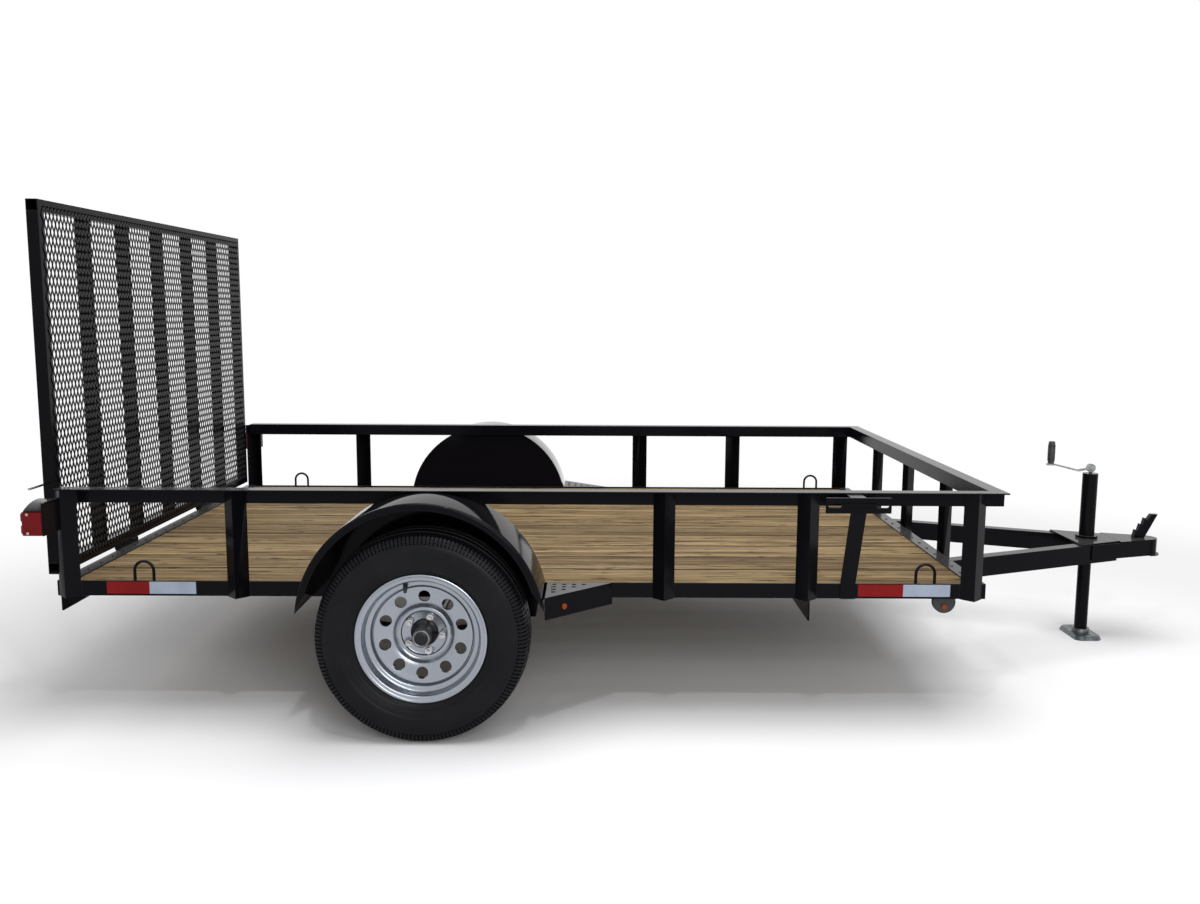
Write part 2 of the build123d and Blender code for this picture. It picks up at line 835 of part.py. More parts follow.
# Spring clamps: a perch between axle and leaves, a plate under them and two bolts bent over the axle
clamp_low = spring_low - clamp_plate
rod_bend = axle_radius + clamp_rod_clear + clamp_rod_radius
rod_off = spring_width / 2 + clamp_rod_clear + clamp_rod_radius
with BuildPart() as spring_clamps:
    for out in (-1, 1):
        with BuildSketch(across(out * (spring_y - spring_width / 2))):
            with Locations((axle_x, spring_top + axle_radius / 2)):
                Rectangle(2 * perch_half_length, axle_radius)
            with Locations((axle_x, axle_height)):
                Circle(axle_radius, mode=Mode.SUBTRACT)
            with Locations((axle_x, leaf_centre)):
                Circle(leaf_radius - leaf_thickness / 2, mode=Mode.INTERSECT)
        extrude(amount=-out * spring_width)
        with BuildSketch(Plane.XY.offset(clamp_low)):
            with Locations((axle_x, out * spring_y)):
                Rectangle(2 * clamp_half_length, 2 * rod_off + 4 * clamp_rod_radius)
        extrude(amount=clamp_plate)
        for rod in (-1, 1):
            rod_y = out * spring_y + rod * rod_off
            rod_low = clamp_low - clamp_rod_end
            with BuildLine() as rod_path:
                Line((axle_x - rod_bend, rod_y, rod_low), (axle_x - rod_bend, rod_y, axle_height))
                ThreePointArc(
                    (axle_x - rod_bend, rod_y, axle_height),
                    (axle_x, rod_y, axle_height + rod_bend),
                    (axle_x + rod_bend, rod_y, axle_height),
                )
                Line((axle_x + rod_bend, rod_y, axle_height), (axle_x + rod_bend, rod_y, rod_low))
            with BuildSketch(Plane((axle_x - rod_bend, rod_y, rod_low), z_dir=(0, 0, 1))):
                Circle(clamp_rod_radius)
            sweep(path=rod_path.line)
save(spring_clamps, "spring_clamps")

# Wheels: hub with its dust cap, pressed rim with ten round windows, and tyre
rim_lip = rim_half_width - rim_wall
tyre_half = tyre_width / 2
bead_half = rim_lip - pin_fit
bead_low = rim_bead_radius + pin_fit
widest_radius = (tyre_radius + rim_flange_radius) / 2
tyre_outer = (
    # half of the section from the bead out to the middle of the tread
    (0, bead_low),
    (bead_half, bead_low),
    (bead_half, rim_flange_radius + bead_rise),
    (tyre_half, widest_radius),
    (tyre_half - shoulder_inset, tyre_radius - shoulder_drop),
    (tread_half, tyre_radius - tread_drop),
    (tread_half / 2, tyre_radius),
    (0, tyre_radius),
)
tyre_inner = (
    (0, bead_low),
    (bead_half - tyre_wall, bead_low),
    (tyre_half - tyre_wall, widest_radius),
    (tread_half - tyre_wall, tyre_radius - tread_drop - tyre_wall),
    (0, tyre_radius - tread_drop - tyre_wall),
)
for side, out in sides:
    wheel_plane = Plane((axle_x, out * wheel_y, axle_height), x_dir=(0, out, 0), z_dir=(out, 0, 0))
    wheel_axis = Axis((axle_x, out * wheel_y, axle_height), (0, out, 0))
    with BuildPart() as hub:
        with BuildSketch(wheel_plane):
            with BuildLine():
                Polyline(
                    (-hub_flange_thickness - hub_barrel_length, spindle_radius + bearing_fit),
                    (-hub_flange_thickness - hub_barrel_length, hub_barrel_radius),
                    (-hub_flange_thickness, hub_barrel_radius),
                    (-hub_flange_thickness, hub_flange_radius),
                    (0, hub_flange_radius),
                    (0, cap_radius),
                    (cap_length, cap_radius),
                    (cap_length, 0),
                    (bearing_fit, 0),
                    (bearing_fit, spindle_radius + bearing_fit),
                    close=True,
                )
            make_face()
        revolve(axis=wheel_axis)
    save(hub, f"hub_{side}")

    with BuildPart() as rim:
        with BuildSketch(wheel_plane):
            with BuildLine():
                Polyline(
                    (rim_half_width, rim_flange_radius),
                    (rim_half_width, rim_bead_radius - rim_wall),
                    (rim_half_width / 2, rim_well_radius - rim_wall),
                    (rim_dish + rim_crown, rim_disc_radius),
                    (rim_dish, rim_pad_radius + rim_shoulder),
                    (rim_wall, rim_pad_radius),
                    (rim_wall, rim_bore_radius),
                    (0, rim_bore_radius),
                    (0, rim_pad_radius + rim_wall),
                    (rim_dish - rim_wall, rim_pad_radius + rim_shoulder + rim_wall),
                    (rim_dish + rim_crown - rim_wall, rim_disc_radius),
                    (rim_dish - rim_wall, rim_well_radius - rim_wall),
                    (-rim_half_width / 2, rim_well_radius - rim_wall),
                    (-rim_half_width, rim_bead_radius - rim_wall),
                    (-rim_half_width, rim_flange_radius),
                    (-rim_lip, rim_flange_radius),
                    (-rim_lip, rim_bead_radius),
                    (-rim_half_width / 2, rim_well_radius),
                    (rim_half_width / 2, rim_well_radius),
                    (rim_lip, rim_bead_radius),
                    (rim_lip, rim_flange_radius),
                    close=True,
                )
            make_face()
        revolve(axis=wheel_axis)
        with BuildSketch(across(out * wheel_y)):
            with Locations((axle_x, axle_height)):
                with PolarLocations(rim_hole_circle, rim_hole_count, start_angle=rim_hole_turn):
                    Circle(rim_hole_radius)
        extrude(amount=-out * rim_half_width, mode=Mode.SUBTRACT)
    save(rim, f"rim_{side}")

    with BuildPart() as tyre:
        for outline, mode in ((tyre_outer, Mode.ADD), (tyre_inner, Mode.SUBTRACT)):
            with BuildSketch(wheel_plane):
                with BuildLine():
                    Polyline(*outline)
                    mirror(about=Plane.YZ)
                make_face()
            revolve(axis=wheel_axis, mode=mode)
    save(tyre, f"tyre_{side}")

# Tail lamps: a bracket out from the rear post, and a square lamp behind it
lamp_front = bed_rear + lamp_place
lamp_inner = half_width + post_heel
lamp_low = frame_top + lamp_rise
lamp_outer = lamp_inner + lamp_gap + lamp_width
lamp_top = lamp_low + lamp_height


def hood_arc(out, lift):
    """Inner end, crown and outer end of the hood's arc over a lamp, at a lift above its lower face."""
    inner_end = (out * lamp_inner, lamp_top + hood_rise + lift)
    crown = (out * (lamp_inner + hood_crown * lamp_width), lamp_top + hood_crown_rise + lift)
    outer_end = (out * lamp_outer, lamp_top + lift)
    return inner_end, crown, outer_end


with BuildPart() as lamp_brackets:
    for out in (-1, 1):
        with BuildSketch(Plane.YZ.offset(lamp_front)):
            with Locations((out * (lamp_inner + lamp_outer) / 2, lamp_low + bracket_height / 2)):
                Rectangle(lamp_outer - lamp_inner, bracket_height)
        extrude(amount=bracket_plate)
        with BuildSketch(Plane.YZ.offset(lamp_front)):
            with BuildLine():
                low_arc = hood_arc(out, 0)
                high_arc = hood_arc(out, hood_sheet)
                ThreePointArc(*low_arc)
                Line(low_arc[2], high_arc[2])
                ThreePointArc(*reversed(high_arc))
                Line(high_arc[0], low_arc[0])
            make_face()
        extrude(amount=-hood_depth)
save(lamp_brackets, "lamp_brackets")

with BuildPart() as tail_lamps:
    for out in (-1, 1):
        with BuildSketch(Plane.XY.offset(lamp_low)):
            with Locations((lamp_front - lamp_depth / 2, out * (lamp_outer - lamp_width / 2))):
                RectangleRounded(lamp_depth, lamp_width, lamp_corner)
        extrude(amount=lamp_height)
save(tail_lamps, "tail_lamps")

# Marker lamps: round ones in rubber plates below the front of the frame, small ones on the steps
marker_x = bed_front - marker_setback
marker_z = frame_bottom - marker_drop
lens_z = frame_bottom - marker_lens_drop
marker_y = half_width - marker_inset
with BuildPart() as marker_grommets:
    for out in (-1, 1):
        with BuildSketch(across(out * marker_y)):
            with Locations((marker_x, marker_z)):
                Circle(marker_radius)
            with Locations((marker_x, frame_bottom + marker_radius)):
                Rectangle(2 * marker_radius, 2 * marker_radius, mode=Mode.SUBTRACT)
            with Locations((marker_x, lens_z)):
                Circle(marker_lens_radius, mode=Mode.SUBTRACT)
        extrude(amount=out * marker_depth)
save(marker_grommets, "marker_grommets")

face_length = sqrt(step_length ** 2 + step_depth ** 2)
with BuildPart() as marker_lamps:
    for out in (-1, 1):
        with BuildSketch(across(out * (marker_y + step_marker_depth))):
            with Locations((marker_x, lens_z)):
                Circle(marker_lens_radius)
        extrude(amount=out * (marker_depth + step_marker_depth))
        face_plane = Plane(
            (
                step_rear + step_marker_share * step_length,
                out * (step_outer - step_marker_share * step_depth),
                frame_top - step_marker_drop,
            ),
            x_dir=(step_length / face_length, -out * step_depth / face_length, 0),
            z_dir=(step_depth / face_length, out * step_length / face_length, 0),
        )
        with BuildSketch(face_plane):
            Circle(step_marker_radius)
        extrude(amount=step_marker_depth)
save(marker_lamps, "marker_lamps")

# Tie-down loops: bent rods that stand on the side flanges against the frame's legs
loop_y = inner_half - loop_rod_radius
with BuildPart() as tie_down_loops:
    for out in (-1, 1):
        for loop_x in (bed_rear + loop_rear_place, bed_front - loop_front_setback):
            loop_shoulder = frame_top + loop_rise - loop_rod_radius - loop_half_width
            with BuildLine() as loop_path:
                Line(
                    (loop_x - loop_half_width, out * loop_y, flange_top),
                    (loop_x - loop_half_width, out * loop_y, loop_shoulder),
                )
                ThreePointArc(
                    (loop_x - loop_half_width, out * loop_y, loop_shoulder),
                    (loop_x, out * loop_y, loop_shoulder + loop_half_width),
                    (loop_x + loop_half_width, out * loop_y, loop_shoulder),
                )
                Line(
                    (loop_x + loop_half_width, out * loop_y, loop_shoulder),
                    (loop_x + loop_half_width, out * loop_y, flange_top),
                )
            with BuildSketch(Plane((loop_x - loop_half_width, out * loop_y, flange_top), z_dir=(0, 0, 1))):
                Circle(loop_rod_radius)
            sweep(path=loop_path.line)
save(tie_down_loops, "tie_down_loops")

# Spare wheel carrier: a leaning leg from the frame, a strap from the rail and a slotted plate
carrier_x = bed_front - carrier_setback
carrier_low = frame_top
plate_low = rail_top - angle_wall - carrier_bar
plate_y = -(flange_edge + carrier_lean)
with BuildPart() as carrier_plate:
    with BuildSketch(across(plate_y)):
        with Locations((carrier_x, plate_low + carrier_bar / 2)):
            Rectangle(carrier_plate_length, carrier_bar)
            with GridLocations(carrier_slot_pitch, 0, 2, 1):
                SlotOverall(carrier_slot_length, carrier_slot_width, mode=Mode.SUBTRACT)
    extrude(amount=carrier_sheet)
save(carrier_plate, "carrier_plate")

with BuildPart() as carrier_leg:
    with BuildSketch(Plane.YZ.offset(carrier_x - carrier_bar / 2)):
        with BuildLine():
            Polyline(
                (-half_width, frame_bottom),
                (-half_width, carrier_low),
                (plate_y, plate_low),
                (plate_y - carrier_sheet, plate_low),
                (-half_width - carrier_sheet, carrier_low),
                (-half_width - carrier_sheet, frame_bottom),
                close=True,
            )
        make_face()
    extrude(amount=carrier_bar)
save(carrier_leg, "carrier_leg")

with BuildPart() as carrier_strap:
    with BuildSketch(Plane.XY.offset(rail_top - angle_wall - carrier_sheet)):
        with Locations((carrier_x, (plate_y - half_width) / 2)):
            Rectangle(carrier_bar, -plate_y - half_width)
    extrude(amount=carrier_sheet)
save(carrier_strap, "carrier_strap")

# Gate: square bars with a sheet of expanded metal on the bed side
gate_front = bed_rear + gate_overlap
gate_width = 2 * (half_width - gate_side_gap)
gate_middle = gate_front - gate_bar / 2
gate_low = frame_top + gate_sill_rise
gate_top = gate_low + gate_height
with BuildPart() as gate_uprights:
    with BuildSketch(Plane.XY.offset(gate_low + gate_bar)):
        with Locations((gate_middle, 0)):
            with GridLocations(0, (gate_width - gate_bar) / (gate_bar_count - 1), 1, gate_bar_count):
                Rectangle(gate_bar, gate_bar)
                Rectangle(gate_bar - 2 * gate_wall, gate_bar - 2 * gate_wall, mode=Mode.SUBTRACT)
    extrude(amount=gate_height - 2 * gate_bar)
save(gate_uprights, "gate_uprights")

with BuildPart() as gate_rails:
    for low in (gate_low, gate_top - gate_bar):
        with BuildSketch(across(-gate_width / 2)):
            with Locations((gate_middle, low + gate_bar / 2)):
                Rectangle(gate_bar, gate_bar)
                Rectangle(gate_bar - 2 * gate_wall, gate_bar - 2 * gate_wall, mode=Mode.SUBTRACT)
        extrude(amount=-gate_width)
save(gate_rails, "gate_rails")

bay_pitch = (gate_width - gate_bar) / (gate_bar_count - 1)
bay_width = bay_pitch - gate_bar
bay_height = gate_height - 2 * gate_bar
cell_width = bay_width / mesh_columns
cell_height = bay_height / mesh_rows
with BuildPart() as gate_mesh:
    with BuildSketch(Plane.YZ.offset(gate_front)):
        with Locations((0, gate_low + gate_height / 2)):
            Rectangle(gate_width - gate_bar, gate_height - gate_bar)
            with GridLocations(bay_pitch, 0, gate_bar_count - 1, 1):
                with GridLocations(cell_width, cell_height, mesh_columns, mesh_rows):
                    Polygon(
                        (cell_width / 2 - mesh_strand / 2, 0),
                        (0, cell_height / 2 - mesh_strand),
                        (mesh_strand / 2 - cell_width / 2, 0),
                        (0, mesh_strand - cell_height / 2),
                        mode=Mode.SUBTRACT,
                    )
    extrude(amount=mesh_sheet)
save(gate_mesh, "gate_mesh")

# Gate hinges: a lug below the gate between two lugs on the frame, on one pin
hinge_x = bed_rear - hinge_setback
hinge_z = gate_low - hinge_drop
with BuildPart() as gate_lugs:
    for place in hinge_places:
        with BuildSketch(across(place - hinge_lug / 2)):
            with Locations((hinge_x, hinge_z)):
                Circle(hinge_lug_radius)
            with Locations((hinge_x, (hinge_z + gate_low) / 2)):
                Rectangle(2 * hinge_lug_radius, hinge_drop)
            with Locations((hinge_x, hinge_z)):
                Circle(hinge_pin_radius + hinge_fit, mode=Mode.SUBTRACT)
        extrude(amount=-hinge_lug)
save(gate_lugs, "gate_lugs")

with BuildPart() as frame_lugs:
    for place in hinge_places:
        for cheek in (-1, 1):
            start = place + cheek * (hinge_lug / 2 + hinge_lug_gap)
            with BuildSketch(across(start)):
                with Locations((hinge_x, hinge_z)):
                    Circle(hinge_lug_radius)
                with Locations(((hinge_x + bed_rear) / 2, hinge_z)):
                    Rectangle(bed_rear - hinge_x, 2 * hinge_lug_radius)
            extrude(amount=-cheek * hinge_lug)
        with BuildSketch(across(place - 1.5 * hinge_lug - hinge_lug_gap)):
            with Locations((hinge_x, hinge_z)):
                Circle(hinge_pin_radius)
        extrude(amount=-(3 * hinge_lug + 2 * hinge_lug_gap))
save(frame_lugs, "frame_lugs")
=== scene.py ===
from math import asin, atan2, cos, pi, radians, sin, sqrt, tau

import bmesh
import bpy
from mathutils import Matrix, Vector


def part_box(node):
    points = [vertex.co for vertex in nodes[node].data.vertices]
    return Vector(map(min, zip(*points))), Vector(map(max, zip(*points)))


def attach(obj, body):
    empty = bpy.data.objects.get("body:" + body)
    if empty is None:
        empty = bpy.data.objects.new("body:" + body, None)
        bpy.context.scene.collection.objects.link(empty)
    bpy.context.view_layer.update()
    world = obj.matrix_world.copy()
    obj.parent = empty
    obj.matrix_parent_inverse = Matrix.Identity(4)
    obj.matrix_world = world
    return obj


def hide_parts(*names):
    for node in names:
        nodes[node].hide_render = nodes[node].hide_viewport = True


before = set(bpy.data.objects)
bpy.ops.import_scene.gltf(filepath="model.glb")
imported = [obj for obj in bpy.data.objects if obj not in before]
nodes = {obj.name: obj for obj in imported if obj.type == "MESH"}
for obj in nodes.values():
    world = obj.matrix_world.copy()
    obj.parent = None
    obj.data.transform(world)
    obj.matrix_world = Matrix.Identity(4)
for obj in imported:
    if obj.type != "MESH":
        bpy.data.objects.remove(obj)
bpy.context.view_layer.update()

scene = bpy.context.scene

# The view: the trailer's right side from a standing eye, a little behind the middle of the bed.
# Lens and place are those that line up the rails, the frame and the gate.
photo_width = 1200
focal_pixels = 1067.54
sensor_width = 36.0
eye_ahead_of_bed_rear = 1.7568
eye_from_middle = 4.3790
eye_above_frame = 0.8871
eye_yaw = 0.0055
eye_pitch = 0.1322
eye_roll = 0.0055

frame_low, frame_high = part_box("frame_sides")
lens = bpy.data.cameras.new("photo_view")
lens.sensor_width = sensor_width
lens.lens = sensor_width * focal_pixels / photo_width
camera = bpy.data.objects.new("photo_view", lens)
camera.location = (frame_low.x + eye_ahead_of_bed_rear, -eye_from_middle, frame_high.z + eye_above_frame)
gaze = Vector((sin(eye_yaw) * cos(eye_pitch), cos(eye_yaw) * cos(eye_pitch), -sin(eye_pitch)))
level_right = Vector((cos(eye_yaw), -sin(eye_yaw), 0))
level_up = level_right.cross(gaze)
eye_right = level_right * cos(eye_roll) + level_up * sin(eye_roll)
eye_up = level_up * cos(eye_roll) - level_right * sin(eye_roll)
camera.rotation_euler = Matrix((eye_right, eye_up, -gaze)).transposed().to_euler()
scene.collection.objects.link(camera)
scene.camera = camera
scene.view_settings.view_transform = "Standard"

# The studio: a pale floor that fades to white, a white surround, three soft lamps and a small bright one.
# The floor keeps the trailer's shadow, and mirrors see the same white as the eye does.
floor_half = 30.0
floor_tone = (0.82, 0.82, 0.83, 1)
fade_start = 2.3
fade_end = 4.4
surround_light = 0.42
lamps = (
    # name, place, aim, size, watts
    ("overhead", (0.2, -0.6, 5.2), (-0.2, 0.2, 0.4), 5.0, 260),
    ("front_fill", (1.2, -6.5, 3.0), (-0.2, 0.0, 0.5), 3.4, 150),
    ("rear_fill", (-4.5, 5.0, 3.6), (0.0, 0.0, 0.6), 3.0, 90),
    ("shop_light", (-0.3, -3.2, 4.2), (-0.3, -1.0, 0.5), 0.16, 22),
)


def link(tree, output, target):
    """Join a node's output socket to another node's input socket."""
    tree.links.new(output, target)


def add_node(tree, kind, **values):
    """New shader node with its properties, or its input sockets, set by name."""
    made = tree.nodes.new(kind)
    for name, value in values.items():
        if name in made.inputs:
            made.inputs[name].default_value = value
        else:
            setattr(made, name, value)
    return made


def clear_sight(tree):
    """Output that is 1 for what the eye, a mirror or a pane sees, and 0 for plain light."""
    path = add_node(tree, "ShaderNodeLightPath")
    first = add_node(tree, "ShaderNodeMath", operation="MAXIMUM")
    both = add_node(tree, "ShaderNodeMath", operation="MAXIMUM")
    link(tree, path.outputs["Is Camera Ray"], first.inputs[0])
    link(tree, path.outputs["Is Glossy Ray"], first.inputs[1])
    link(tree, first.outputs[0], both.inputs[0])
    link(tree, path.outputs["Is Transmission Ray"], both.inputs[1])
    return both.outputs[0]


surround = bpy.data.worlds.new("surround")
surround.use_nodes = True
scene.world = surround
sky = surround.node_tree
sky.nodes.clear()
soft_light = add_node(sky, "ShaderNodeBackground", Color=(1, 1, 1, 1), Strength=surround_light)
white_sight = add_node(sky, "ShaderNodeBackground", Color=(1, 1, 1, 1), Strength=1.0)
sky_mix = add_node(sky, "ShaderNodeMixShader")
sky_out = add_node(sky, "ShaderNodeOutputWorld")
link(sky, clear_sight(sky), sky_mix.inputs[0])
link(sky, soft_light.outputs[0], sky_mix.inputs[1])
link(sky, white_sight.outputs[0], sky_mix.inputs[2])
link(sky, sky_mix.outputs[0], sky_out.inputs[0])

floor_shape = bmesh.new()
bmesh.ops.create_grid(floor_shape, x_segments=1, y_segments=1, size=floor_half)
floor_mesh = bpy.data.meshes.new("floor")
floor_shape.to_mesh(floor_mesh)
floor_shape.free()
floor = bpy.data.objects.new("floor", floor_mesh)
scene.collection.objects.link(floor)

floor_paint = bpy.data.materials.new("pale_floor")
floor_paint.use_nodes = True
tree = floor_paint.node_tree
tree.nodes.clear()
place = add_node(tree, "ShaderNodeTexCoord")
reach = add_node(tree, "ShaderNodeVectorMath", operation="LENGTH")
fade = add_node(tree, "ShaderNodeMapRange", interpolation_type="SMOOTHSTEP")
fade.inputs["From Min"].default_value = fade_start
fade.inputs["From Max"].default_value = fade_end
seen = add_node(tree, "ShaderNodeMath", operation="MULTIPLY")
matt = add_node(tree, "ShaderNodeBsdfDiffuse", Color=floor_tone)
white = add_node(tree, "ShaderNodeEmission", Color=(1, 1, 1, 1), Strength=1.0)
blend = add_node(tree, "ShaderNodeMixShader")
floor_out = add_node(tree, "ShaderNodeOutputMaterial")
link(tree, place.outputs["Object"], reach.inputs[0])
link(tree, reach.outputs["Value"], fade.inputs["Value"])
link(tree, fade.outputs[0], seen.inputs[0])
link(tree, clear_sight(tree), seen.inputs[1])
link(tree, seen.outputs[0], blend.inputs[0])
link(tree, matt.outputs[0], blend.inputs[1])
link(tree, white.outputs[0], blend.inputs[2])
link(tree, blend.outputs[0], floor_out.inputs[0])
floor_mesh.materials.append(floor_paint)

for name, spot, aim, size, watts in lamps:
    light = bpy.data.lights.new(name, "AREA")
    light.shape = "DISK"
    light.size = size
    light.energy = watts
    lamp = bpy.data.objects.new(name, light)
    lamp.location = spot
    lamp.rotation_euler = (Vector(aim) - Vector(spot)).to_track_quat("-Z", "Y").to_euler()
    scene.collection.objects.link(lamp)

# Black steel: rolled angles, tubes and plates welded up and sprayed as one with gloss black paint.
# The paint has a faint orange peel, soft changes of gloss, and on what faces up a little dust and a painted
# sheen.
# The steps' tops are painted lighter still, for dust from treading and a painted reflection.
paint_black = (0.0032, 0.0030, 0.0044, 1)
# colour of what faces up: dust, and a painted sheen where glancing light lightens the tops
paint_dust_and_sheen = (0.050, 0.049, 0.050, 1)
# the steps' tops: more dust, and a painted reflection
step_dust_and_reflection = (0.110, 0.110, 0.115, 1)
edge_round = 0.0011
join_reach = 0.00001
sharp_angle = radians(40)
painted = (
    "frame_sides", "frame_front", "frame_rear", "cross_members", "rail_sides", "rail_front",
    "posts_sides", "posts_front", "under_beams", "tongue_tubes", "coupler", "coupler_latch",
    "jack_plate", "jack_tube", "jack_leg", "axle", "springs", "spring_hangers",
    "spring_clamps", "lamp_brackets", "tie_down_loops", "carrier_plate",
    "carrier_leg", "carrier_strap", "gate_uprights", "gate_rails", "gate_lugs", "frame_lugs",
)
eased = (
    "frame_sides", "frame_front", "frame_rear", "rail_sides", "rail_front", "posts_sides", "posts_front",
    "under_beams", "tongue_tubes", "jack_plate", "steps", "carrier_plate", "carrier_leg",
    "carrier_strap", "gate_uprights", "gate_rails", "coupler_latch", "lamp_brackets",
)


def new_material(name):
    """Empty node material with a Principled shader on its output."""
    made = bpy.data.materials.new(name)
    made.use_nodes = True
    tree = made.node_tree
    tree.nodes.clear()
    shader = add_node(tree, "ShaderNodeBsdfPrincipled")
    out = add_node(tree, "ShaderNodeOutputMaterial")
    link(tree, shader.outputs[0], out.inputs[0])
    return made, tree, shader


def object_noise(tree, scale, detail=4.0, roughness=0.55):
    """Noise on Object coordinates; gives the value output."""
    place = add_node(tree, "ShaderNodeTexCoord")
    grain = add_node(tree, "ShaderNodeTexNoise", Scale=scale, Detail=detail, Roughness=roughness)
    link(tree, place.outputs["Object"], grain.inputs["Vector"])
    return grain.outputs[0]


def ramp(tree, value, *stops):
    """Colour ramp over a value; each stop is a place and a colour."""
    made = add_node(tree, "ShaderNodeValToRGB")
    band = made.color_ramp
    while len(band.elements) < len(stops):
        band.elements.new(1.0)
    for element, (spot, colour) in zip(band.elements, stops):
        element.position = spot
        element.color = colour
    link(tree, value, made.inputs[0])
    return made.outputs[0]


def span(tree, value, low, high, start=0.0, end=1.0):
    """A value from start to end mapped to a range, and held there."""
    made = add_node(tree, "ShaderNodeMapRange")
    made.inputs["From Min"].default_value = start
    made.inputs["From Max"].default_value = end
    made.inputs["To Min"].default_value = low
    made.inputs["To Max"].default_value = high
    link(tree, value, made.inputs["Value"])
    return made.outputs[0]


def reckon(tree, operation, first, second, hold=False):
    """Math node on two values, each an output socket or a number."""
    made = add_node(tree, "ShaderNodeMath", operation=operation, use_clamp=hold)
    for socket, value in zip(made.inputs, (first, second)):
        if isinstance(value, (int, float)):
            socket.default_value = value
        else:
            link(tree, value, socket)
    return made.outputs[0]


def blend_colours(tree, share, first, second, kind="MIX"):
    """Colour between two others, or one laid over the other, by a share."""
    made = add_node(tree, "ShaderNodeMix", data_type="RGBA", blend_type=kind)
    for socket, value in ((made.inputs[0], share), (made.inputs[6], first), (made.inputs[7], second)):
        if isinstance(value, (int, float, tuple)):
            socket.default_value = value
        else:
            link(tree, value, socket)
    return made.outputs[2]


def bump(tree, shader, value, strength, distance):
    """Bump on a shader from a value."""
    made = add_node(tree, "ShaderNodeBump", Strength=strength, Distance=distance)
    link(tree, value, made.inputs["Height"])
    link(tree, made.outputs[0], shader.inputs["Normal"])


def gloss_paint(name, colour, dust_and_sheen, gloss, shine):
    """Sprayed gloss paint with orange peel, and dust with a painted sheen on the faces that look up."""
    made, tree, shader = new_material(name)
    shader.inputs["Specular IOR Level"].default_value = shine
    facing = add_node(tree, "ShaderNodeNewGeometry")
    upward = add_node(tree, "ShaderNodeSeparateXYZ")
    link(tree, facing.outputs["Normal"], upward.inputs[0])
    cover = span(tree, object_noise(tree, 7.0), 0.35, 1.0)
    # The faces that look up get a lighter colour: dust, and a painted sheen of glancing light.
    dust_and_sheen_share = reckon(tree, "MULTIPLY", upward.outputs["Z"], cover, hold=True)
    link(tree, ramp(tree, dust_and_sheen_share, (0.0, colour), (1.0, dust_and_sheen)), shader.inputs["Base Color"])
    link(tree, span(tree, object_noise(tree, 11.0, detail=3.0), *gloss), shader.inputs["Roughness"])
    bump(tree, shader, object_noise(tree, 420.0, detail=1.0), 0.06, 0.001)
    return made


def finish(node, material):
    """Give a solid its material in place of the plain one."""
    mesh = nodes[node].data
    mesh.materials.clear()
    mesh.materials.append(material)


def ease_edges(node, width):
    """Round a solid's sharp edges a little, as rolling and paint do."""
    join = nodes[node].modifiers.new("join", "WELD")
    join.merge_threshold = join_reach
    ease = nodes[node].modifiers.new("ease", "BEVEL")
    ease.width = width
    ease.segments = 2
    ease.limit_method = "ANGLE"
    ease.angle_limit = sharp_angle


def piece(name, shape, body, material, smooth=None):
    """Turn a bmesh into a piece that rides on a body, smooth across edges under an angle in degrees."""
    mesh = bpy.data.meshes.new(name)
    shape.to_mesh(mesh)
    shape.free()
    mesh.materials.append(material)
    if smooth is not None:
        mesh.polygons.foreach_set("use_smooth", [True] * len(mesh.polygons))
        mesh.set_sharp_from_angle(angle=radians(smooth))
    made = bpy.data.objects.new(name, mesh)
    scene.collection.objects.link(made)
    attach(made, body)
    return made


def block(shape, low, high):
    """Add a box between two corners to a bmesh; gives its vertices."""
    made = bmesh.ops.create_cube(shape, size=1.0)["verts"]
    low, high = Vector(low), Vector(high)
    bmesh.ops.scale(shape, vec=high - low, verts=made)
    bmesh.ops.translate(shape, vec=(low + high) / 2, verts=made)
    return made


black_paint = gloss_paint("black_paint", paint_black, paint_dust_and_sheen, (0.10, 0.22), 0.06)
# The steps' paint is lighter on top: dust and a painted reflection.
step_paint = gloss_paint("step_black", paint_black, step_dust_and_reflection, (0.14, 0.28), 0.05)
for node in painted:
    finish(node, black_paint)
finish("steps", step_paint)
for node in eased:
    ease_edges(node, edge_round)

# Fenders: sheet steel rolled to a half round, with a rounded lip and a half disc on the frame's side.
# The lip is rolled over to a thin hem and cut to a point at both ends.
sides = (("right", -1), ("left", 1))
fender_dust = (0.006, 0.006, 0.007, 1)
fender_steps = 120
fender_sheet = 0.003
fender_lip = 0.024
lip_round = 0.0090
hem_round = 0.0015
lip_turns = 6
hem_turns = 6
fender_arc = 0.386
lip_cut = 0.062
front_rise = 0.010
fender_paint = gloss_paint("fender_black", paint_black, fender_dust, (0.03, 0.07), 0.06)


def fender_section():
    """Closed line of points, out from the frame's side and out from the wheel's middle."""
    knee_out, knee_up = fender_wide - lip_round, fender_arc - lip_round
    quarter = [radians(90 * turn / lip_turns) for turn in range(lip_turns + 1)]
    outside = [(knee_out + lip_round * sin(angle), knee_up + lip_round * cos(angle)) for angle in quarter]
    inner_round = lip_round - fender_sheet
    inside = [(knee_out + inner_round * sin(angle), knee_up + inner_round * cos(angle))
              for angle in reversed(quarter)]
    hem_out, hem_up = fender_wide - hem_round, fender_arc - fender_lip + hem_round
    half_turn = [radians(180 * turn / hem_turns) for turn in range(hem_turns + 1)]
    hem = [(hem_out + hem_round * cos(angle), hem_up - hem_round * sin(angle)) for angle in half_turn]
    return [(0, fender_arc)] + outside + hem + inside + [(0, fender_arc - fender_sheet)]


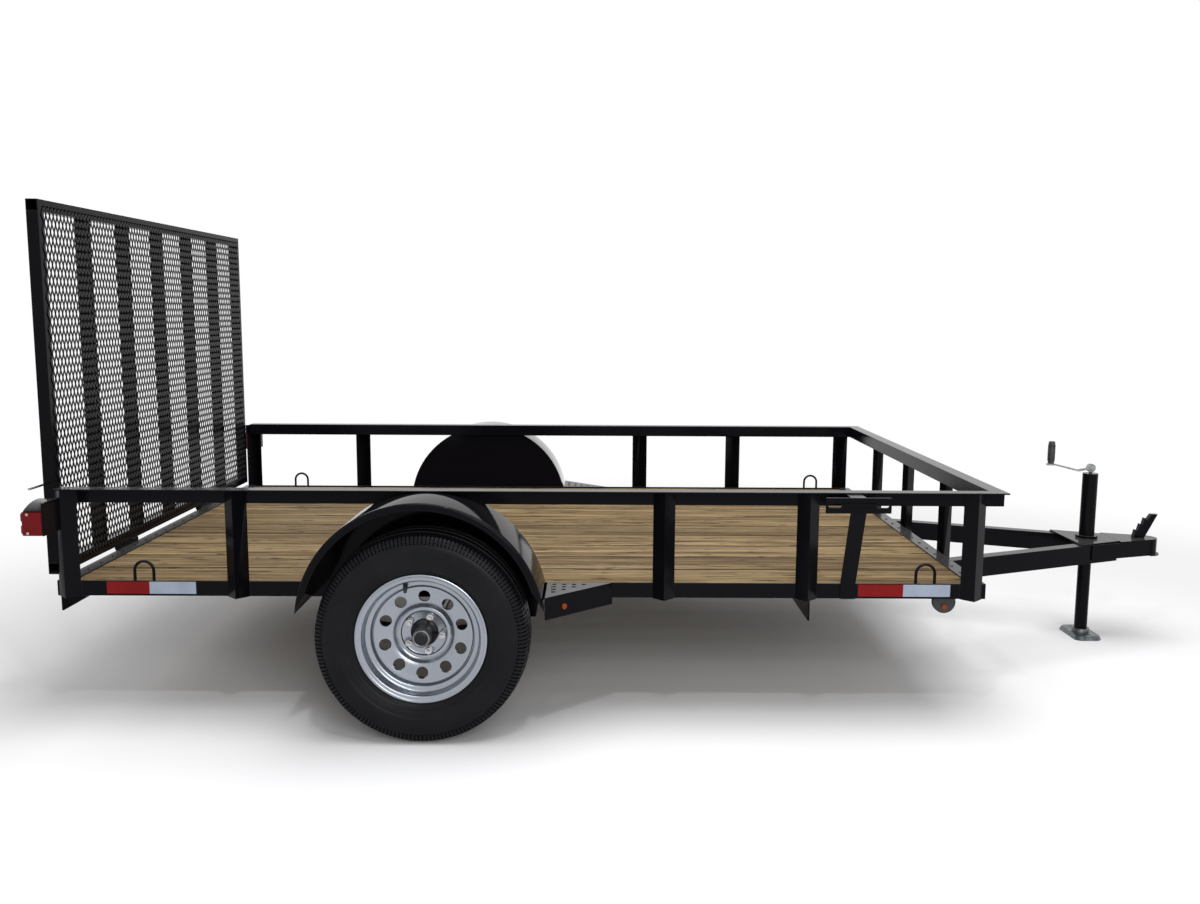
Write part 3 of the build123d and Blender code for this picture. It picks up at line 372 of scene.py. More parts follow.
for side, out in sides:
    fender_low, fender_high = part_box(f"fender_{side}")
    fender_wide = fender_high.y - fender_low.y
    root_y = fender_high.y if out < 0 else fender_low.y
    middle = Vector(((fender_low.x + fender_high.x) / 2, root_y, fender_high.z - fender_arc))
    rear_lift = fender_low.z - middle.z
    front_lift = rear_lift + front_rise
    rear_angle = pi - asin(rear_lift / fender_arc)
    front_angle = asin(front_lift / fender_arc)
    start = Vector((cos(rear_angle), 0, sin(rear_angle)))
    sheet = bmesh.new()
    ring = [sheet.verts.new(middle + Vector((0, out * outward, 0)) + start * radius)
            for outward, radius in fender_section()]
    loop = [sheet.edges.new((ring[index - 1], ring[index])) for index in range(len(ring))]
    bmesh.ops.spin(sheet, geom=ring + loop, cent=middle, axis=(0, 1, 0), dvec=(0, 0, 0),
                   angle=rear_angle - front_angle, steps=fender_steps, use_merge=False)
    for vert in sheet.verts:
        reach = vert.co - middle
        radius = sqrt(reach.x ** 2 + reach.z ** 2)
        above_end = reach.z - (rear_lift if reach.x < 0 else front_lift)
        least = fender_arc - max(fender_sheet, fender_lip * min(1.0, above_end / lip_cut))
        if radius < least:
            vert.co = middle + Vector((reach.x * least / radius, reach.y, reach.z * least / radius))
    bmesh.ops.holes_fill(sheet, edges=[edge for edge in sheet.edges if edge.is_boundary], sides=0)
    turn = (front_angle - rear_angle) / fender_steps
    disc_radius = fender_arc - fender_sheet / 2
    disc = [sheet.verts.new(middle + Vector((cos(angle), 0, sin(angle))) * disc_radius)
            for angle in (rear_angle + turn * index for index in range(fender_steps + 1))]
    half_disc = sheet.faces.new(disc)
    thick = bmesh.ops.extrude_face_region(sheet, geom=[half_disc])["geom"]
    bmesh.ops.translate(sheet, vec=(0, out * fender_sheet, 0),
                        verts=[part for part in thick if isinstance(part, bmesh.types.BMVert)])
    bmesh.ops.recalc_face_normals(sheet, faces=sheet.faces)
    made = piece(f"rolled_fender_{side}", sheet, "chassis", fender_paint, smooth=35)
    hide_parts(f"fender_{side}")

# Welds: short beads where the posts meet the frame and the rails, laid by hand and painted over.
# Each is a row of small overlapping puddles.
bead_radius = 0.0032
bead_pitch = 0.0042
bead_inset = 0.004
angle_wall = 0.0048
rail_leg = 0.0508
post_half = 0.0359
posts_from_rear = (0.044, 0.594)
posts_from_front = (1.062, 0.593, 0.050)
front_posts = (-0.48, 0.0, 0.48)


def bead(shape, start, end):
    """Row of weld puddles between two points."""
    start, end = Vector(start), Vector(end)
    count = max(2, round((end - start).length / bead_pitch))
    for index in range(count):
        puddle = bmesh.ops.create_icosphere(shape, subdivisions=1, radius=bead_radius)["verts"]
        bmesh.ops.translate(shape, vec=start.lerp(end, (index + 0.5) / count), verts=puddle)


rail_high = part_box("rail_sides")[1]
side_posts = [frame_low.x + place for place in posts_from_rear]
side_posts += [frame_high.x - setback for setback in posts_from_front]
bead_runs = (
    # lower and upper end of a bead: on the frame, on the rail
    (frame_low.z + bead_inset, frame_high.z - bead_inset),
    (rail_high.z - rail_leg, rail_high.z - angle_wall),
)
welds = bmesh.new()
for low_z, high_z in bead_runs:
    for edge in (-post_half, post_half):
        for face_y in (-frame_high.y, frame_high.y):
            for post_x in side_posts:
                bead(welds, (post_x + edge, face_y, low_z), (post_x + edge, face_y, high_z))
        for post_y in front_posts:
            bead(welds, (frame_high.x, post_y + edge, low_z), (frame_high.x, post_y + edge, high_z))
piece("weld_beads", welds, "chassis", black_paint, smooth=60)

# Deck: ten planed pine boards, pressure treated, laid lengthwise and held under the end angles.
# Pale sapwood with brown grain that runs along each board, darker streaks and a few knots.
board_count = 10
board_round = 0.003
shift_along = 37.0
shift_through = 3.7
pine_pale = (0.355, 0.268, 0.146, 1)
pine_mid = (0.232, 0.167, 0.085, 1)
pine_brown = (0.090, 0.057, 0.028, 1)
pine_dark = (0.020, 0.012, 0.006, 1)
dull_board = (0.74, 0.72, 0.70, 1)
bright_board = (1.08, 1.06, 1.02, 1)
board_marks = (
    # stretch, detail, roughness and distortion of the noise; share, where it starts, where it is full; colour
    ((0.8, 24.0, 20.0), 4.0, 0.65, 0.6, 0.75, 0.500, 0.580, pine_brown),
    ((2.0, 46.0, 20.0), 4.0, 0.60, 0.5, 0.85, 0.585, 0.635, pine_dark),
    ((9.0, 60.0, 40.0), 3.0, 0.50, 0.3, 0.90, 0.625, 0.665, pine_dark),
)
deck_low, deck_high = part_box("deck_boards")
board_gap = 0.0045
board_pitch = (deck_high.y - deck_low.y + board_gap) / board_count

boards = bmesh.new()
for index in range(board_count):
    board_y = deck_low.y + index * board_pitch
    block(boards, (deck_low.x, board_y, deck_low.z),
          (deck_high.x, board_y + board_pitch - board_gap, deck_high.z))
long_edges = [edge for edge in boards.edges if abs(edge.verts[0].co.x - edge.verts[1].co.x) > 1]
bmesh.ops.bevel(boards, geom=long_edges, offset=board_round, affect="EDGES", segments=3, profile=0.5,
                material=-1)

pine, tree, shader = new_material("deck_timber")
place = add_node(tree, "ShaderNodeTexCoord")
split = add_node(tree, "ShaderNodeSeparateXYZ")
link(tree, place.outputs["Object"], split.inputs[0])
from_side = reckon(tree, "SUBTRACT", split.outputs["Y"], deck_low.y - board_gap / 2)
row = reckon(tree, "DIVIDE", from_side, board_pitch)
board_number = reckon(tree, "FLOOR", row, 0.0)
chance = add_node(tree, "ShaderNodeTexWhiteNoise", noise_dimensions="1D")
link(tree, board_number, chance.inputs["W"])
shift = add_node(tree, "ShaderNodeCombineXYZ")
link(tree, reckon(tree, "MULTIPLY", chance.outputs["Value"], shift_along), shift.inputs["X"])
link(tree, reckon(tree, "MULTIPLY", board_number, shift_through), shift.inputs["Z"])
own_place = add_node(tree, "ShaderNodeVectorMath", operation="ADD")
link(tree, place.outputs["Object"], own_place.inputs[0])
link(tree, shift.outputs[0], own_place.inputs[1])


def on_board(kind, stretch, **values):
    """Texture node on a board's own coordinates, stretched along the grain."""
    turn = add_node(tree, "ShaderNodeMapping", Scale=stretch)
    made = add_node(tree, kind, **values)
    link(tree, own_place.outputs[0], turn.inputs["Vector"])
    link(tree, turn.outputs[0], made.inputs["Vector"])
    return made


def board_noise(stretch, detail, roughness, distortion):
    """Noise that follows the grain; gives the value output."""
    return on_board("ShaderNodeTexNoise", stretch, Scale=1.0, Detail=detail, Roughness=roughness,
                    Distortion=distortion).outputs[0]


broad = board_noise((0.9, 9.0, 9.0), 5.0, 0.6, 0.6)
fine = board_noise((2.2, 150.0, 60.0), 6.0, 0.7, 0.0)
ring = on_board("ShaderNodeTexWave", (0.25, 1.0, 1.0), wave_type="BANDS", bands_direction="Y", Scale=11.0,
                Distortion=9.0, Detail=3.0)
ring.inputs["Detail Scale"].default_value = 1.4
knot = on_board("ShaderNodeTexVoronoi", (1.0, 2.6, 1.0), Scale=2.3)
tone = ramp(tree, broad, (0.30, pine_brown), (0.46, pine_mid), (0.66, pine_pale))
tone = blend_colours(tree, span(tree, ring.outputs["Fac"], 0.0, 0.50, 0.55, 1.0), tone, pine_brown)
tone = blend_colours(tree, span(tree, fine, 0.0, 0.75, 0.48, 0.68), tone, pine_brown)
for stretch, detail, roughness, distortion, share, start, full, colour in board_marks:
    mark = board_noise(stretch, detail, roughness, distortion)
    tone = blend_colours(tree, span(tree, mark, 0.0, share, start, full), tone, colour)
tone = blend_colours(tree, span(tree, knot.outputs["Distance"], 0.9, 0.0, 0.03, 0.09), tone, pine_dark)
# Painted shade: each board is darkened along its long edges, where the gaps between the boards fall into
# shade.
off_middle = reckon(tree, "SUBTRACT", reckon(tree, "FRACT", row, 0.0), 0.5)
gap_shade_reach = reckon(tree, "ABSOLUTE", off_middle, 0.0)
tone = blend_colours(tree, span(tree, gap_shade_reach, 0.0, 0.85, 0.455, 0.485), tone, pine_dark)
board_tint = ramp(tree, chance.outputs["Value"], (0.0, dull_board), (1.0, bright_board))
varied = blend_colours(tree, 1.0, tone, board_tint, "MULTIPLY")
link(tree, varied, shader.inputs["Base Color"])
link(tree, span(tree, fine, 0.62, 0.86), shader.inputs["Roughness"])
shader.inputs["Specular IOR Level"].default_value = 0.10
bump(tree, shader, fine, 0.25, 0.0012)
deck = piece("deck_planks", boards, "chassis", pine, smooth=50)
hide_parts("deck_boards")

# Deck screws: self-drilling screws through the end angles, one pair to a board.
# Their heads are low and round, zinc plated and dulled.
screw_radius = 0.0062
screw_height = 0.0024
screw_taper = 0.62
screw_sides = 14
screw_off = 0.048
screw_from_end = 0.030
screw_pale = (0.035, 0.035, 0.036, 1)
screw_dull = (0.014, 0.014, 0.015, 1)


def plated_steel(name, pale, dull, gloss):
    """Zinc plate with its cloudy spangle and uneven gloss."""
    made, tree, shader = new_material(name)
    shader.inputs["Metallic"].default_value = 1.0
    cloud = object_noise(tree, 38.0, detail=5.0, roughness=0.7)
    link(tree, ramp(tree, cloud, (0.35, dull), (0.62, pale)), shader.inputs["Base Color"])
    link(tree, span(tree, object_noise(tree, 90.0), *gloss), shader.inputs["Roughness"])
    bump(tree, shader, object_noise(tree, 260.0, detail=2.0), 0.08, 0.0008)
    return made


def drum(shape, spot, axis, foot_radius, top_radius, length, segments, start=0.0):
    """Add a cylinder or cone that stands on a spot along an axis, from a start height; gives its vertices."""
    made = bmesh.ops.create_cone(shape, cap_ends=True, segments=segments, radius1=foot_radius,
                                 radius2=top_radius, depth=length)["verts"]
    bmesh.ops.translate(shape, vec=(0, 0, start + length / 2), verts=made)
    turn = Vector((0, 0, 1)).rotation_difference(Vector(axis)).to_matrix()
    bmesh.ops.rotate(shape, verts=made, cent=(0, 0, 0), matrix=turn)
    bmesh.ops.translate(shape, vec=spot, verts=made)
    return made


dark_zinc = plated_steel("dulled_zinc", screw_pale, screw_dull, (0.3, 0.5))
screws = bmesh.new()
for index in range(board_count):
    board_y = deck_low.y + (index + 0.5) * board_pitch - board_gap / 2
    for off in (-screw_off, screw_off):
        for end_x in (frame_low.x + screw_from_end, frame_high.x - screw_from_end):
            drum(screws, (end_x, board_y + off, frame_high.z), (0, 0, 1), screw_radius,
                 screw_radius * screw_taper, screw_height, screw_sides)
piece("deck_screws", screws, "chassis", dark_zinc, smooth=40)

# Reflective tape: red and white blocks of stick-on tape along both sides of the frame.
# The sheeting is made of tiny cube corners, which show as a fine net.
tape_thick = 0.0004
tape_half = 0.0203
tape_drop = 0.0235
tape_red = (0.20, 0.007, 0.007, 1)
tape_red_deep = (0.13, 0.004, 0.004, 1)
tape_white = (0.31, 0.355, 0.43, 1)
tape_blue = (0.22, 0.26, 0.33, 1)
tape_blocks = (
    # name, from the bed's rear, to
    ("tape_red", ((0.161, 0.301), (2.627, 2.776))),
    ("tape_white", ((0.301, 0.453), (2.776, 2.931))),
)


def prism_tape(name, ground, line):
    """Retroreflective sheeting with its net of small cells."""
    made, tree, shader = new_material(name)
    place = add_node(tree, "ShaderNodeTexCoord")
    turn = add_node(tree, "ShaderNodeMapping", Scale=(1.0, 0.0, 1.0))
    cells = add_node(tree, "ShaderNodeTexVoronoi", feature="DISTANCE_TO_EDGE", Scale=210.0, Randomness=0.0)
    link(tree, place.outputs["Object"], turn.inputs["Vector"])
    link(tree, turn.outputs[0], cells.inputs["Vector"])
    net = span(tree, cells.outputs["Distance"], 1.0, 0.0, 0.03, 0.10)
    glint = object_noise(tree, 16.0, detail=2.0)
    toned = blend_colours(tree, span(tree, glint, 0.0, 0.5, 0.4, 0.7), ground, line)
    netted = blend_colours(tree, reckon(tree, "MULTIPLY", net, 0.55), toned, line)
    link(tree, netted, shader.inputs["Base Color"])
    link(tree, span(tree, net, 0.22, 0.45), shader.inputs["Roughness"])
    shader.inputs["Specular IOR Level"].default_value = 0.10
    return made


tape_paints = {
    "tape_red": prism_tape("tape_red", tape_red, tape_red_deep),
    "tape_white": prism_tape("tape_white", tape_white, tape_blue),
}
for name, runs in tape_blocks:
    strips = bmesh.new()
    for out in (-1, 1):
        for start, end in runs:
            ys = sorted((out * frame_high.y, out * (frame_high.y + tape_thick)))
            middle = frame_high.z - tape_drop
            block(strips, (frame_low.x + start, ys[0], middle - tape_half),
                  (frame_low.x + end, ys[1], middle + tape_half))
    piece(name, strips, "chassis", tape_paints[name])

# Tyres: radial road tyres of black rubber, with four grooves, notched shoulders and ringed sidewalls.
# Each is spun from its section and keeps the size of its solid.
tyre_steps = 480
spin_weld = 0.00002
rubber_black = (0.0050, 0.0052, 0.0064, 1)
rubber_worn = (0.0105, 0.0108, 0.0125, 1)
crown_drop = 0.0105
tread_half = 0.084
groove_depth = 0.0070
notch_depth = 0.0050
notch_low = 0.3040
shoulder_notch_every = 3
rib_notch_every = 6
groove_floor = 0.6
grooves = (
    # middle of a groove from the tyre's middle, half width
    (0.0170, 0.0045),
    (0.0500, 0.0042),
)
sidewall = (
    # from the tyre's middle outwards, radius: shoulder to bead
    (0.0895, 0.3210),
    (0.0945, 0.3125),
    (0.0972, 0.3060),
    (0.0962, 0.3045),
    (0.0990, 0.2990),
    (0.1010, 0.2880),
    (0.1024, 0.2740),
    (0.1020, 0.2600),
    (0.1004, 0.2490),
    (0.0994, 0.2478),
    (0.0990, 0.2455),
    (0.0960, 0.2350),
    (0.0925, 0.2260),
    (0.0935, 0.2245),
    (0.0925, 0.2215),
    (0.0880, 0.2160),
    (0.0830, 0.2105),
    (0.0788, 0.2062),
    (0.0788, 0.1960),
)


def wheel_turned(section, out, steps):
    """Bmesh of a line of points, outwards and up from a wheel's middle, spun once round its axle."""
    shape = bmesh.new()
    centre = Vector((axle_x, out * wheel_y, axle_z))
    line = [shape.verts.new(centre + Vector((0, out * outward, radius))) for outward, radius in section]
    edges = [shape.edges.new(pair) for pair in zip(line, line[1:])]
    bmesh.ops.spin(shape, geom=line + edges, cent=centre, axis=(0, 1, 0), dvec=(0, 0, 0), angle=tau,
                   steps=steps, use_merge=True)
    bmesh.ops.remove_doubles(shape, verts=shape.verts, dist=spin_weld)
    bmesh.ops.recalc_face_normals(shape, faces=shape.faces)
    return shape


def tyre_section():
    """Half of the tyre's section from the middle of the tread to the bead."""
    half = [(0.0, tyre_radius)]
    for middle, wide in grooves:
        floor_half = wide * groove_floor
        for place, depth in ((middle - wide, 0.0), (middle - floor_half, groove_depth),
                             (middle + floor_half, groove_depth), (middle + wide, 0.0)):
            half.append((place, tyre_radius - crown_drop * (place / tread_half) ** 2 - depth))
    half.append((tread_half, tyre_radius - crown_drop))
    return half + list(sidewall)


rubber, tree, shader = new_material("tyre_rubber")
scuff = object_noise(tree, 5.0, detail=6.0, roughness=0.65)
link(tree, ramp(tree, scuff, (0.38, rubber_black), (0.80, rubber_worn)), shader.inputs["Base Color"])
link(tree, span(tree, object_noise(tree, 14.0), 0.28, 0.44), shader.inputs["Roughness"])
shader.inputs["Specular IOR Level"].default_value = 0.09
bump(tree, shader, object_noise(tree, 700.0, detail=2.0), 0.10, 0.0006)

tyre_low, tyre_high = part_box("tyre_right")
tyre_radius = (tyre_high.z - tyre_low.z) / 2
axle_x = (tyre_low.x + tyre_high.x) / 2
axle_z = (tyre_low.z + tyre_high.z) / 2
wheel_y = -(tyre_low.y + tyre_high.y) / 2
half_section = tyre_section()
(inner_groove, inner_half), (outer_groove, outer_half) = grooves
for side, out in sides:
    centre = (axle_x, out * wheel_y, axle_z)
    far_half = [(-across, radius) for across, radius in reversed(half_section[1:])]
    tyre = wheel_turned(far_half + half_section, out, tyre_steps)
    notched = []
    for face in tyre.faces:
        middle = face.calc_center_median() - Vector(centre)
        reach = sqrt(middle.x ** 2 + middle.z ** 2)
        turn = int((atan2(middle.z, middle.x) + pi) / tau * tyre_steps)
        across = abs(middle.y)
        shoulder = across > outer_groove + outer_half and reach > notch_low
        rib = inner_groove + inner_half < across < outer_groove - outer_half
        if (shoulder and turn % shoulder_notch_every == 0) or (rib and turn % rib_notch_every == 0):
            notched.append(face)
    for face in bmesh.ops.extrude_discrete_faces(tyre, faces=notched)["faces"]:
        middle = face.calc_center_median() - Vector(centre)
        inward = Vector((-middle.x, 0, -middle.z)).normalized()
        for vert in face.verts:
            vert.co += inward * notch_depth
    made = piece(f"road_tyre_{side}", tyre, f"wheel_{side}", rubber, smooth=32)
    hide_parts(f"tyre_{side}")

# Rims: pressed steel wheels with a rolled flange, a drop centre and a disc with ten round windows.
# They are sprayed silver, with the windows punched through the disc.
rim_steps = 160
rim_smooth = 38
punch_sides = 40
punch_depth = 0.09
silver = (0.32, 0.345, 0.385, 1)
silver_deep = (0.23, 0.25, 0.285, 1)
window_count = 10
window_radius = 0.019
window_circle = 0.125
window_turn = radians(15.5)
rim_section = (
    # outwards from the rim's middle, radius: the disc's back and the barrel's inner side
    (0.0000, 0.0440), (0.0000, 0.0860), (0.0040, 0.0930), (0.0110, 0.0980), (0.0165, 0.1020),
    (0.0225, 0.1350), (0.0250, 0.1560), (0.0220, 0.1615), (0.0150, 0.1630), (-0.0420, 0.1630),
    (-0.0700, 0.1800), (-0.0790, 0.1850), (-0.0835, 0.1900), (-0.0838, 0.2010), (-0.0820, 0.2055),
    (-0.0795, 0.2050), (-0.0790, 0.1900), (-0.0420, 0.1680),
    # the barrel's outer side and the bead seat
    (0.0420, 0.1680), (0.0455, 0.1790), (0.0500, 0.1850), (0.0620, 0.1895), (0.0790, 0.1900),
    (0.0792, 0.2020),
    # the rolled flange
    (0.0800, 0.2056), (0.0826, 0.2056), (0.0838, 0.2035), (0.0838, 0.2000), (0.0825, 0.1985),
    (0.0812, 0.1965), (0.0806, 0.1900), (0.0800, 0.1872),
    # the wall inside the flange, and the ledge behind it
    (0.0780, 0.1852), (0.0700, 0.1838), (0.0560, 0.1800), (0.0520, 0.1785), (0.0500, 0.1760),
    (0.0490, 0.1700), (0.0480, 0.1650), (0.0465, 0.1632), (0.0420, 0.1622), (0.0300, 0.1615),
    # the groove where the disc is pressed in, and the disc's rim
    (0.0285, 0.1605), (0.0285, 0.1590), (0.0300, 0.1578), (0.0345, 0.1570), (0.0360, 0.1556),
    (0.0362, 0.1535),
    # the dished disc, its shoulder and the pad for the nuts
    (0.0350, 0.1480), (0.0325, 0.1400), (0.0300, 0.1250), (0.0275, 0.1100), (0.0250, 0.1000),
    (0.0225, 0.0955), (0.0175, 0.0915), (0.0145, 0.0885), (0.0118, 0.0830), (0.0135, 0.0780),
    (0.0130, 0.0740), (0.0075, 0.0710), (0.0055, 0.0660), (0.0055, 0.0480), (0.0050, 0.0440),
    (0.0000, 0.0440),
)
silver_paint, tree, shader = new_material("wheel_silver")
fleck = object_noise(tree, 900.0, detail=1.0)
cloud = object_noise(tree, 6.0, detail=3.0)
tint = blend_colours(tree, span(tree, fleck, 0.0, 0.5), silver, silver_deep)
link(tree, blend_colours(tree, span(tree, cloud, 0.0, 0.35), tint, silver_deep), shader.inputs["Base Color"])
shader.inputs["Metallic"].default_value = 0.88
link(tree, span(tree, cloud, 0.20, 0.30), shader.inputs["Roughness"])
shader.inputs["Coat Weight"].default_value = 0.3
shader.inputs["Coat Roughness"].default_value = 0.15
bump(tree, shader, object_noise(tree, 500.0, detail=1.0), 0.04, 0.0006)
for side, out in sides:
    centre = (axle_x, out * wheel_y, axle_z)
    rim = wheel_turned(rim_section, out, rim_steps)
    made = piece(f"steel_rim_{side}", rim, f"wheel_{side}", silver_paint, smooth=rim_smooth)
    punches = bmesh.new()
    for index in range(window_count):
        angle = window_turn + tau * index / window_count
        spot = Vector(centre) + Vector((cos(angle), 0, sin(angle))) * window_circle
        drum(punches, spot, (0, out, 0), window_radius, window_radius, punch_depth, punch_sides,
             start=-punch_depth / 2)
    punch_mesh = bpy.data.meshes.new(f"punches_{side}")
    punches.to_mesh(punch_mesh)
    punches.free()
    punch_set = bpy.data.objects.new(f"punches_{side}", punch_mesh)
    scene.collection.objects.link(punch_set)
    windows = made.modifiers.new("windows", "BOOLEAN")
    windows.operation = "DIFFERENCE"
    windows.solver = "EXACT"
    windows.object = punch_set
    bpy.context.view_layer.update()
    evaluated = made.evaluated_get(bpy.context.evaluated_depsgraph_get())
    cut_mesh = bpy.data.meshes.new_from_object(evaluated)
    made.modifiers.clear()
    made.data = cut_mesh
    cut_mesh.set_sharp_from_angle(angle=radians(rim_smooth))
    bpy.data.objects.remove(punch_set)
    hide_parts(f"rim_{side}")

# Hubs: cast, painted black, with a pressed grease cap and a rubber plug in its end.
# Five plated cone nuts on studs hold each wheel, and a snap-in rubber valve sticks out of its rim.
hub_black = (0.0050, 0.0052, 0.0065, 1)
nut_circle = 0.05715
nut_turn = radians(68.5)
nut_count = 5
nut_radius = 0.0122
nut_height = 0.017
nut_round = 0.0016
nut_seat = 0.0055
cone_height = 0.005
cone_foot = 0.72
cone_top = 0.98
stud_radius = 0.0063
stud_height = 0.0075
stud_taper = 0.8
cone_sides = 24
nut_sides = 6
stud_sides = 16
cap_steps = 72
valve_angle = radians(107)
valve_circle = 0.172
valve_radius = 0.0080
valve_length = 0.036
valve_out = 0.046
valve_lean = 0.45
valve_taper = 0.7
ring_pale = (0.22, 0.23, 0.24, 1)
ring_dull = (0.12, 0.125, 0.13, 1)
nut_pale = (0.50, 0.50, 0.51, 1)
nut_dull = (0.28, 0.29, 0.30, 1)
plug_black = (0.010, 0.010, 0.010, 1)
plug_grey = (0.022, 0.022, 0.023, 1)
cap_section = (
    # outwards from the hub's flange, radius
    (0.0004, 0.0420), (0.0080, 0.0410), (0.0105, 0.0360), (0.0150, 0.0310), (0.0190, 0.0286),
    (0.0560, 0.0284), (0.0600, 0.0292), (0.0630, 0.0290), (0.0660, 0.0284), (0.0735, 0.0282),
    (0.0758, 0.0268), (0.0764, 0.0250), (0.0764, 0.0215), (0.0776, 0.0205), (0.0790, 0.0180),
    (0.0796, 0.0120), (0.0798, 0.0000),
)
cap_ring = (
    # outwards from the hub's flange, radius
    (0.0752, 0.0274), (0.0770, 0.0266), (0.0777, 0.0248), (0.0775, 0.0230), (0.0766, 0.0216),
)
ring_plate = plated_steel("ring_plate", ring_pale, ring_dull, (0.25, 0.4))
hub_paint = gloss_paint("hub_black", hub_black, paint_dust_and_sheen, (0.20, 0.34), 0.25)
plug_rubber, tree, shader = new_material("plug_rubber")
plug_tone = ramp(tree, object_noise(tree, 40.0), (0.3, plug_black), (0.8, plug_grey))
link(tree, plug_tone, shader.inputs["Base Color"])
shader.inputs["Roughness"].default_value = 0.6
nut_plate = plated_steel("nut_plate", nut_pale, nut_dull, (0.14, 0.26))
for side, out in sides:
    centre = Vector((axle_x, out * wheel_y, axle_z))
    outward = Vector((0, out, 0))
    finish(f"hub_{side}", hub_paint)
    cap = wheel_turned(cap_section, out, cap_steps)
    piece(f"grease_cap_{side}", cap, f"wheel_{side}", hub_paint, smooth=40)
    rolled = wheel_turned(cap_ring, out, cap_steps)
    piece(f"cap_ring_{side}", rolled, f"wheel_{side}", ring_plate, smooth=60)
    nuts = bmesh.new()
    for index in range(nut_count):
        angle = nut_turn + tau * index / nut_count
        spot = centre + Vector((cos(angle), 0, sin(angle))) * nut_circle + outward * nut_seat
        drum(nuts, spot, outward, nut_radius * cone_foot, nut_radius * cone_top, cone_height, cone_sides)
        hexagon = drum(nuts, spot, outward, nut_radius, nut_radius, nut_height, nut_sides, start=cone_height)
        ends = [edge for edge in nuts.edges if all(vert in hexagon for vert in edge.verts)
                and abs(edge.verts[0].co.y - edge.verts[1].co.y) < nut_round]
        bmesh.ops.bevel(nuts, geom=ends, offset=nut_round, affect="EDGES", segments=2, profile=0.5,
                        material=-1)
        drum(nuts, spot, outward, stud_radius, stud_radius * stud_taper, stud_height, stud_sides,
             start=cone_height + nut_height)
    piece(f"wheel_nuts_{side}", nuts, f"wheel_{side}", nut_plate, smooth=30)
    valve = bmesh.new()
    rim_way = Vector((cos(valve_angle), 0, sin(valve_angle)))
    valve_spot = centre + rim_way * valve_circle + outward * valve_out
    valve_way = (outward - rim_way * valve_lean).normalized()
    drum(valve, valve_spot, valve_way, valve_radius, valve_radius * valve_taper, valve_length, stud_sides)
    piece(f"valve_{side}", valve, f"wheel_{side}", plug_rubber, smooth=40)

# Lamps: square red tail lamps on brackets at the rear, and amber markers in rubber below the frame.
# The lenses are moulded with rows of small prisms and held by two screws each.
lens_red = (0.19, 0.005, 0.007, 1)
lens_red_deep = (0.09, 0.002, 0.003, 1)
lens_amber = (0.34, 0.062, 0.010, 1)
lens_amber_deep = (0.18, 0.026, 0.004, 1)
lens_wide = 0.104
lens_round = 0.005
panel_rise = 0.006
panel_gap = 0.010
panel_inset = 0.005
lamp_screw = 0.0045
lamp_screw_rise = 0.0015
lamp_screw_ahead = 0.024
lamp_screw_up = 0.008
lamp_screw_down = 0.009


def moulded_lens(name, bright, deep, pitch):
    """Clear coloured plastic over rows of small prisms."""
    made, tree, shader = new_material(name)
    place = add_node(tree, "ShaderNodeTexCoord")
    prisms = add_node(tree, "ShaderNodeTexVoronoi", Scale=pitch, Randomness=0.0)
    link(tree, place.outputs["Object"], prisms.inputs["Vector"])
    depth = span(tree, prisms.outputs["Distance"], 0.0, 1.0, 0.1, 0.6)
    link(tree, ramp(tree, depth, (0.0, bright), (1.0, deep)), shader.inputs["Base Color"])
    shader.inputs["Roughness"].default_value = 0.12
    shader.inputs["Specular IOR Level"].default_value = 0.12
    bump(tree, shader, depth, 0.12, 0.001)
    return made


red_lens = moulded_lens("red_lens", lens_red, lens_red_deep, 150.0)
amber_lens = moulded_lens("amber_lens", lens_amber, lens_amber_deep, 230.0)
lamp_low, lamp_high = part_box("tail_lamps")
middle_z = (lamp_low.z + lamp_high.z) / 2
panels = (
    # lower and upper end of a raised panel
    (lamp_low.z + panel_inset, middle_z - panel_gap / 2),
    (middle_z + panel_gap / 2, lamp_high.z - panel_inset),
)
lamp_bodies = bmesh.new()
lamp_screws = bmesh.new()
for out in (-1, 1):
    low_y, high_y = sorted((out * lamp_high.y, out * (lamp_high.y - lens_wide)))
    block(lamp_bodies, (lamp_low.x + panel_rise, low_y, lamp_low.z), (lamp_high.x, high_y, lamp_high.z))
    for low_z, high_z in panels:
        block(lamp_bodies, (lamp_low.x, low_y + panel_inset, low_z),
              (lamp_low.x + panel_rise + lens_round, high_y - panel_inset, high_z))
    for screw_z in (lamp_low.z + lamp_screw_up, lamp_high.z - lamp_screw_down):
        spot = (lamp_low.x + lamp_screw_ahead, out * lamp_high.y, screw_z)
        drum(lamp_screws, spot, (0, out, 0), lamp_screw, lamp_screw * screw_taper, lamp_screw_rise,
             screw_sides)
bmesh.ops.bevel(lamp_bodies, geom=lamp_bodies.edges[:], offset=lens_round, affect="EDGES", segments=3,
                profile=0.5, material=-1)
made = piece("lamp_lenses", lamp_bodies, "chassis", red_lens, smooth=40)
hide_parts("tail_lamps")
piece("lamp_screws", lamp_screws, "chassis", nut_plate, smooth=40)
finish("marker_lamps", amber_lens)
finish("marker_grommets", plug_rubber)

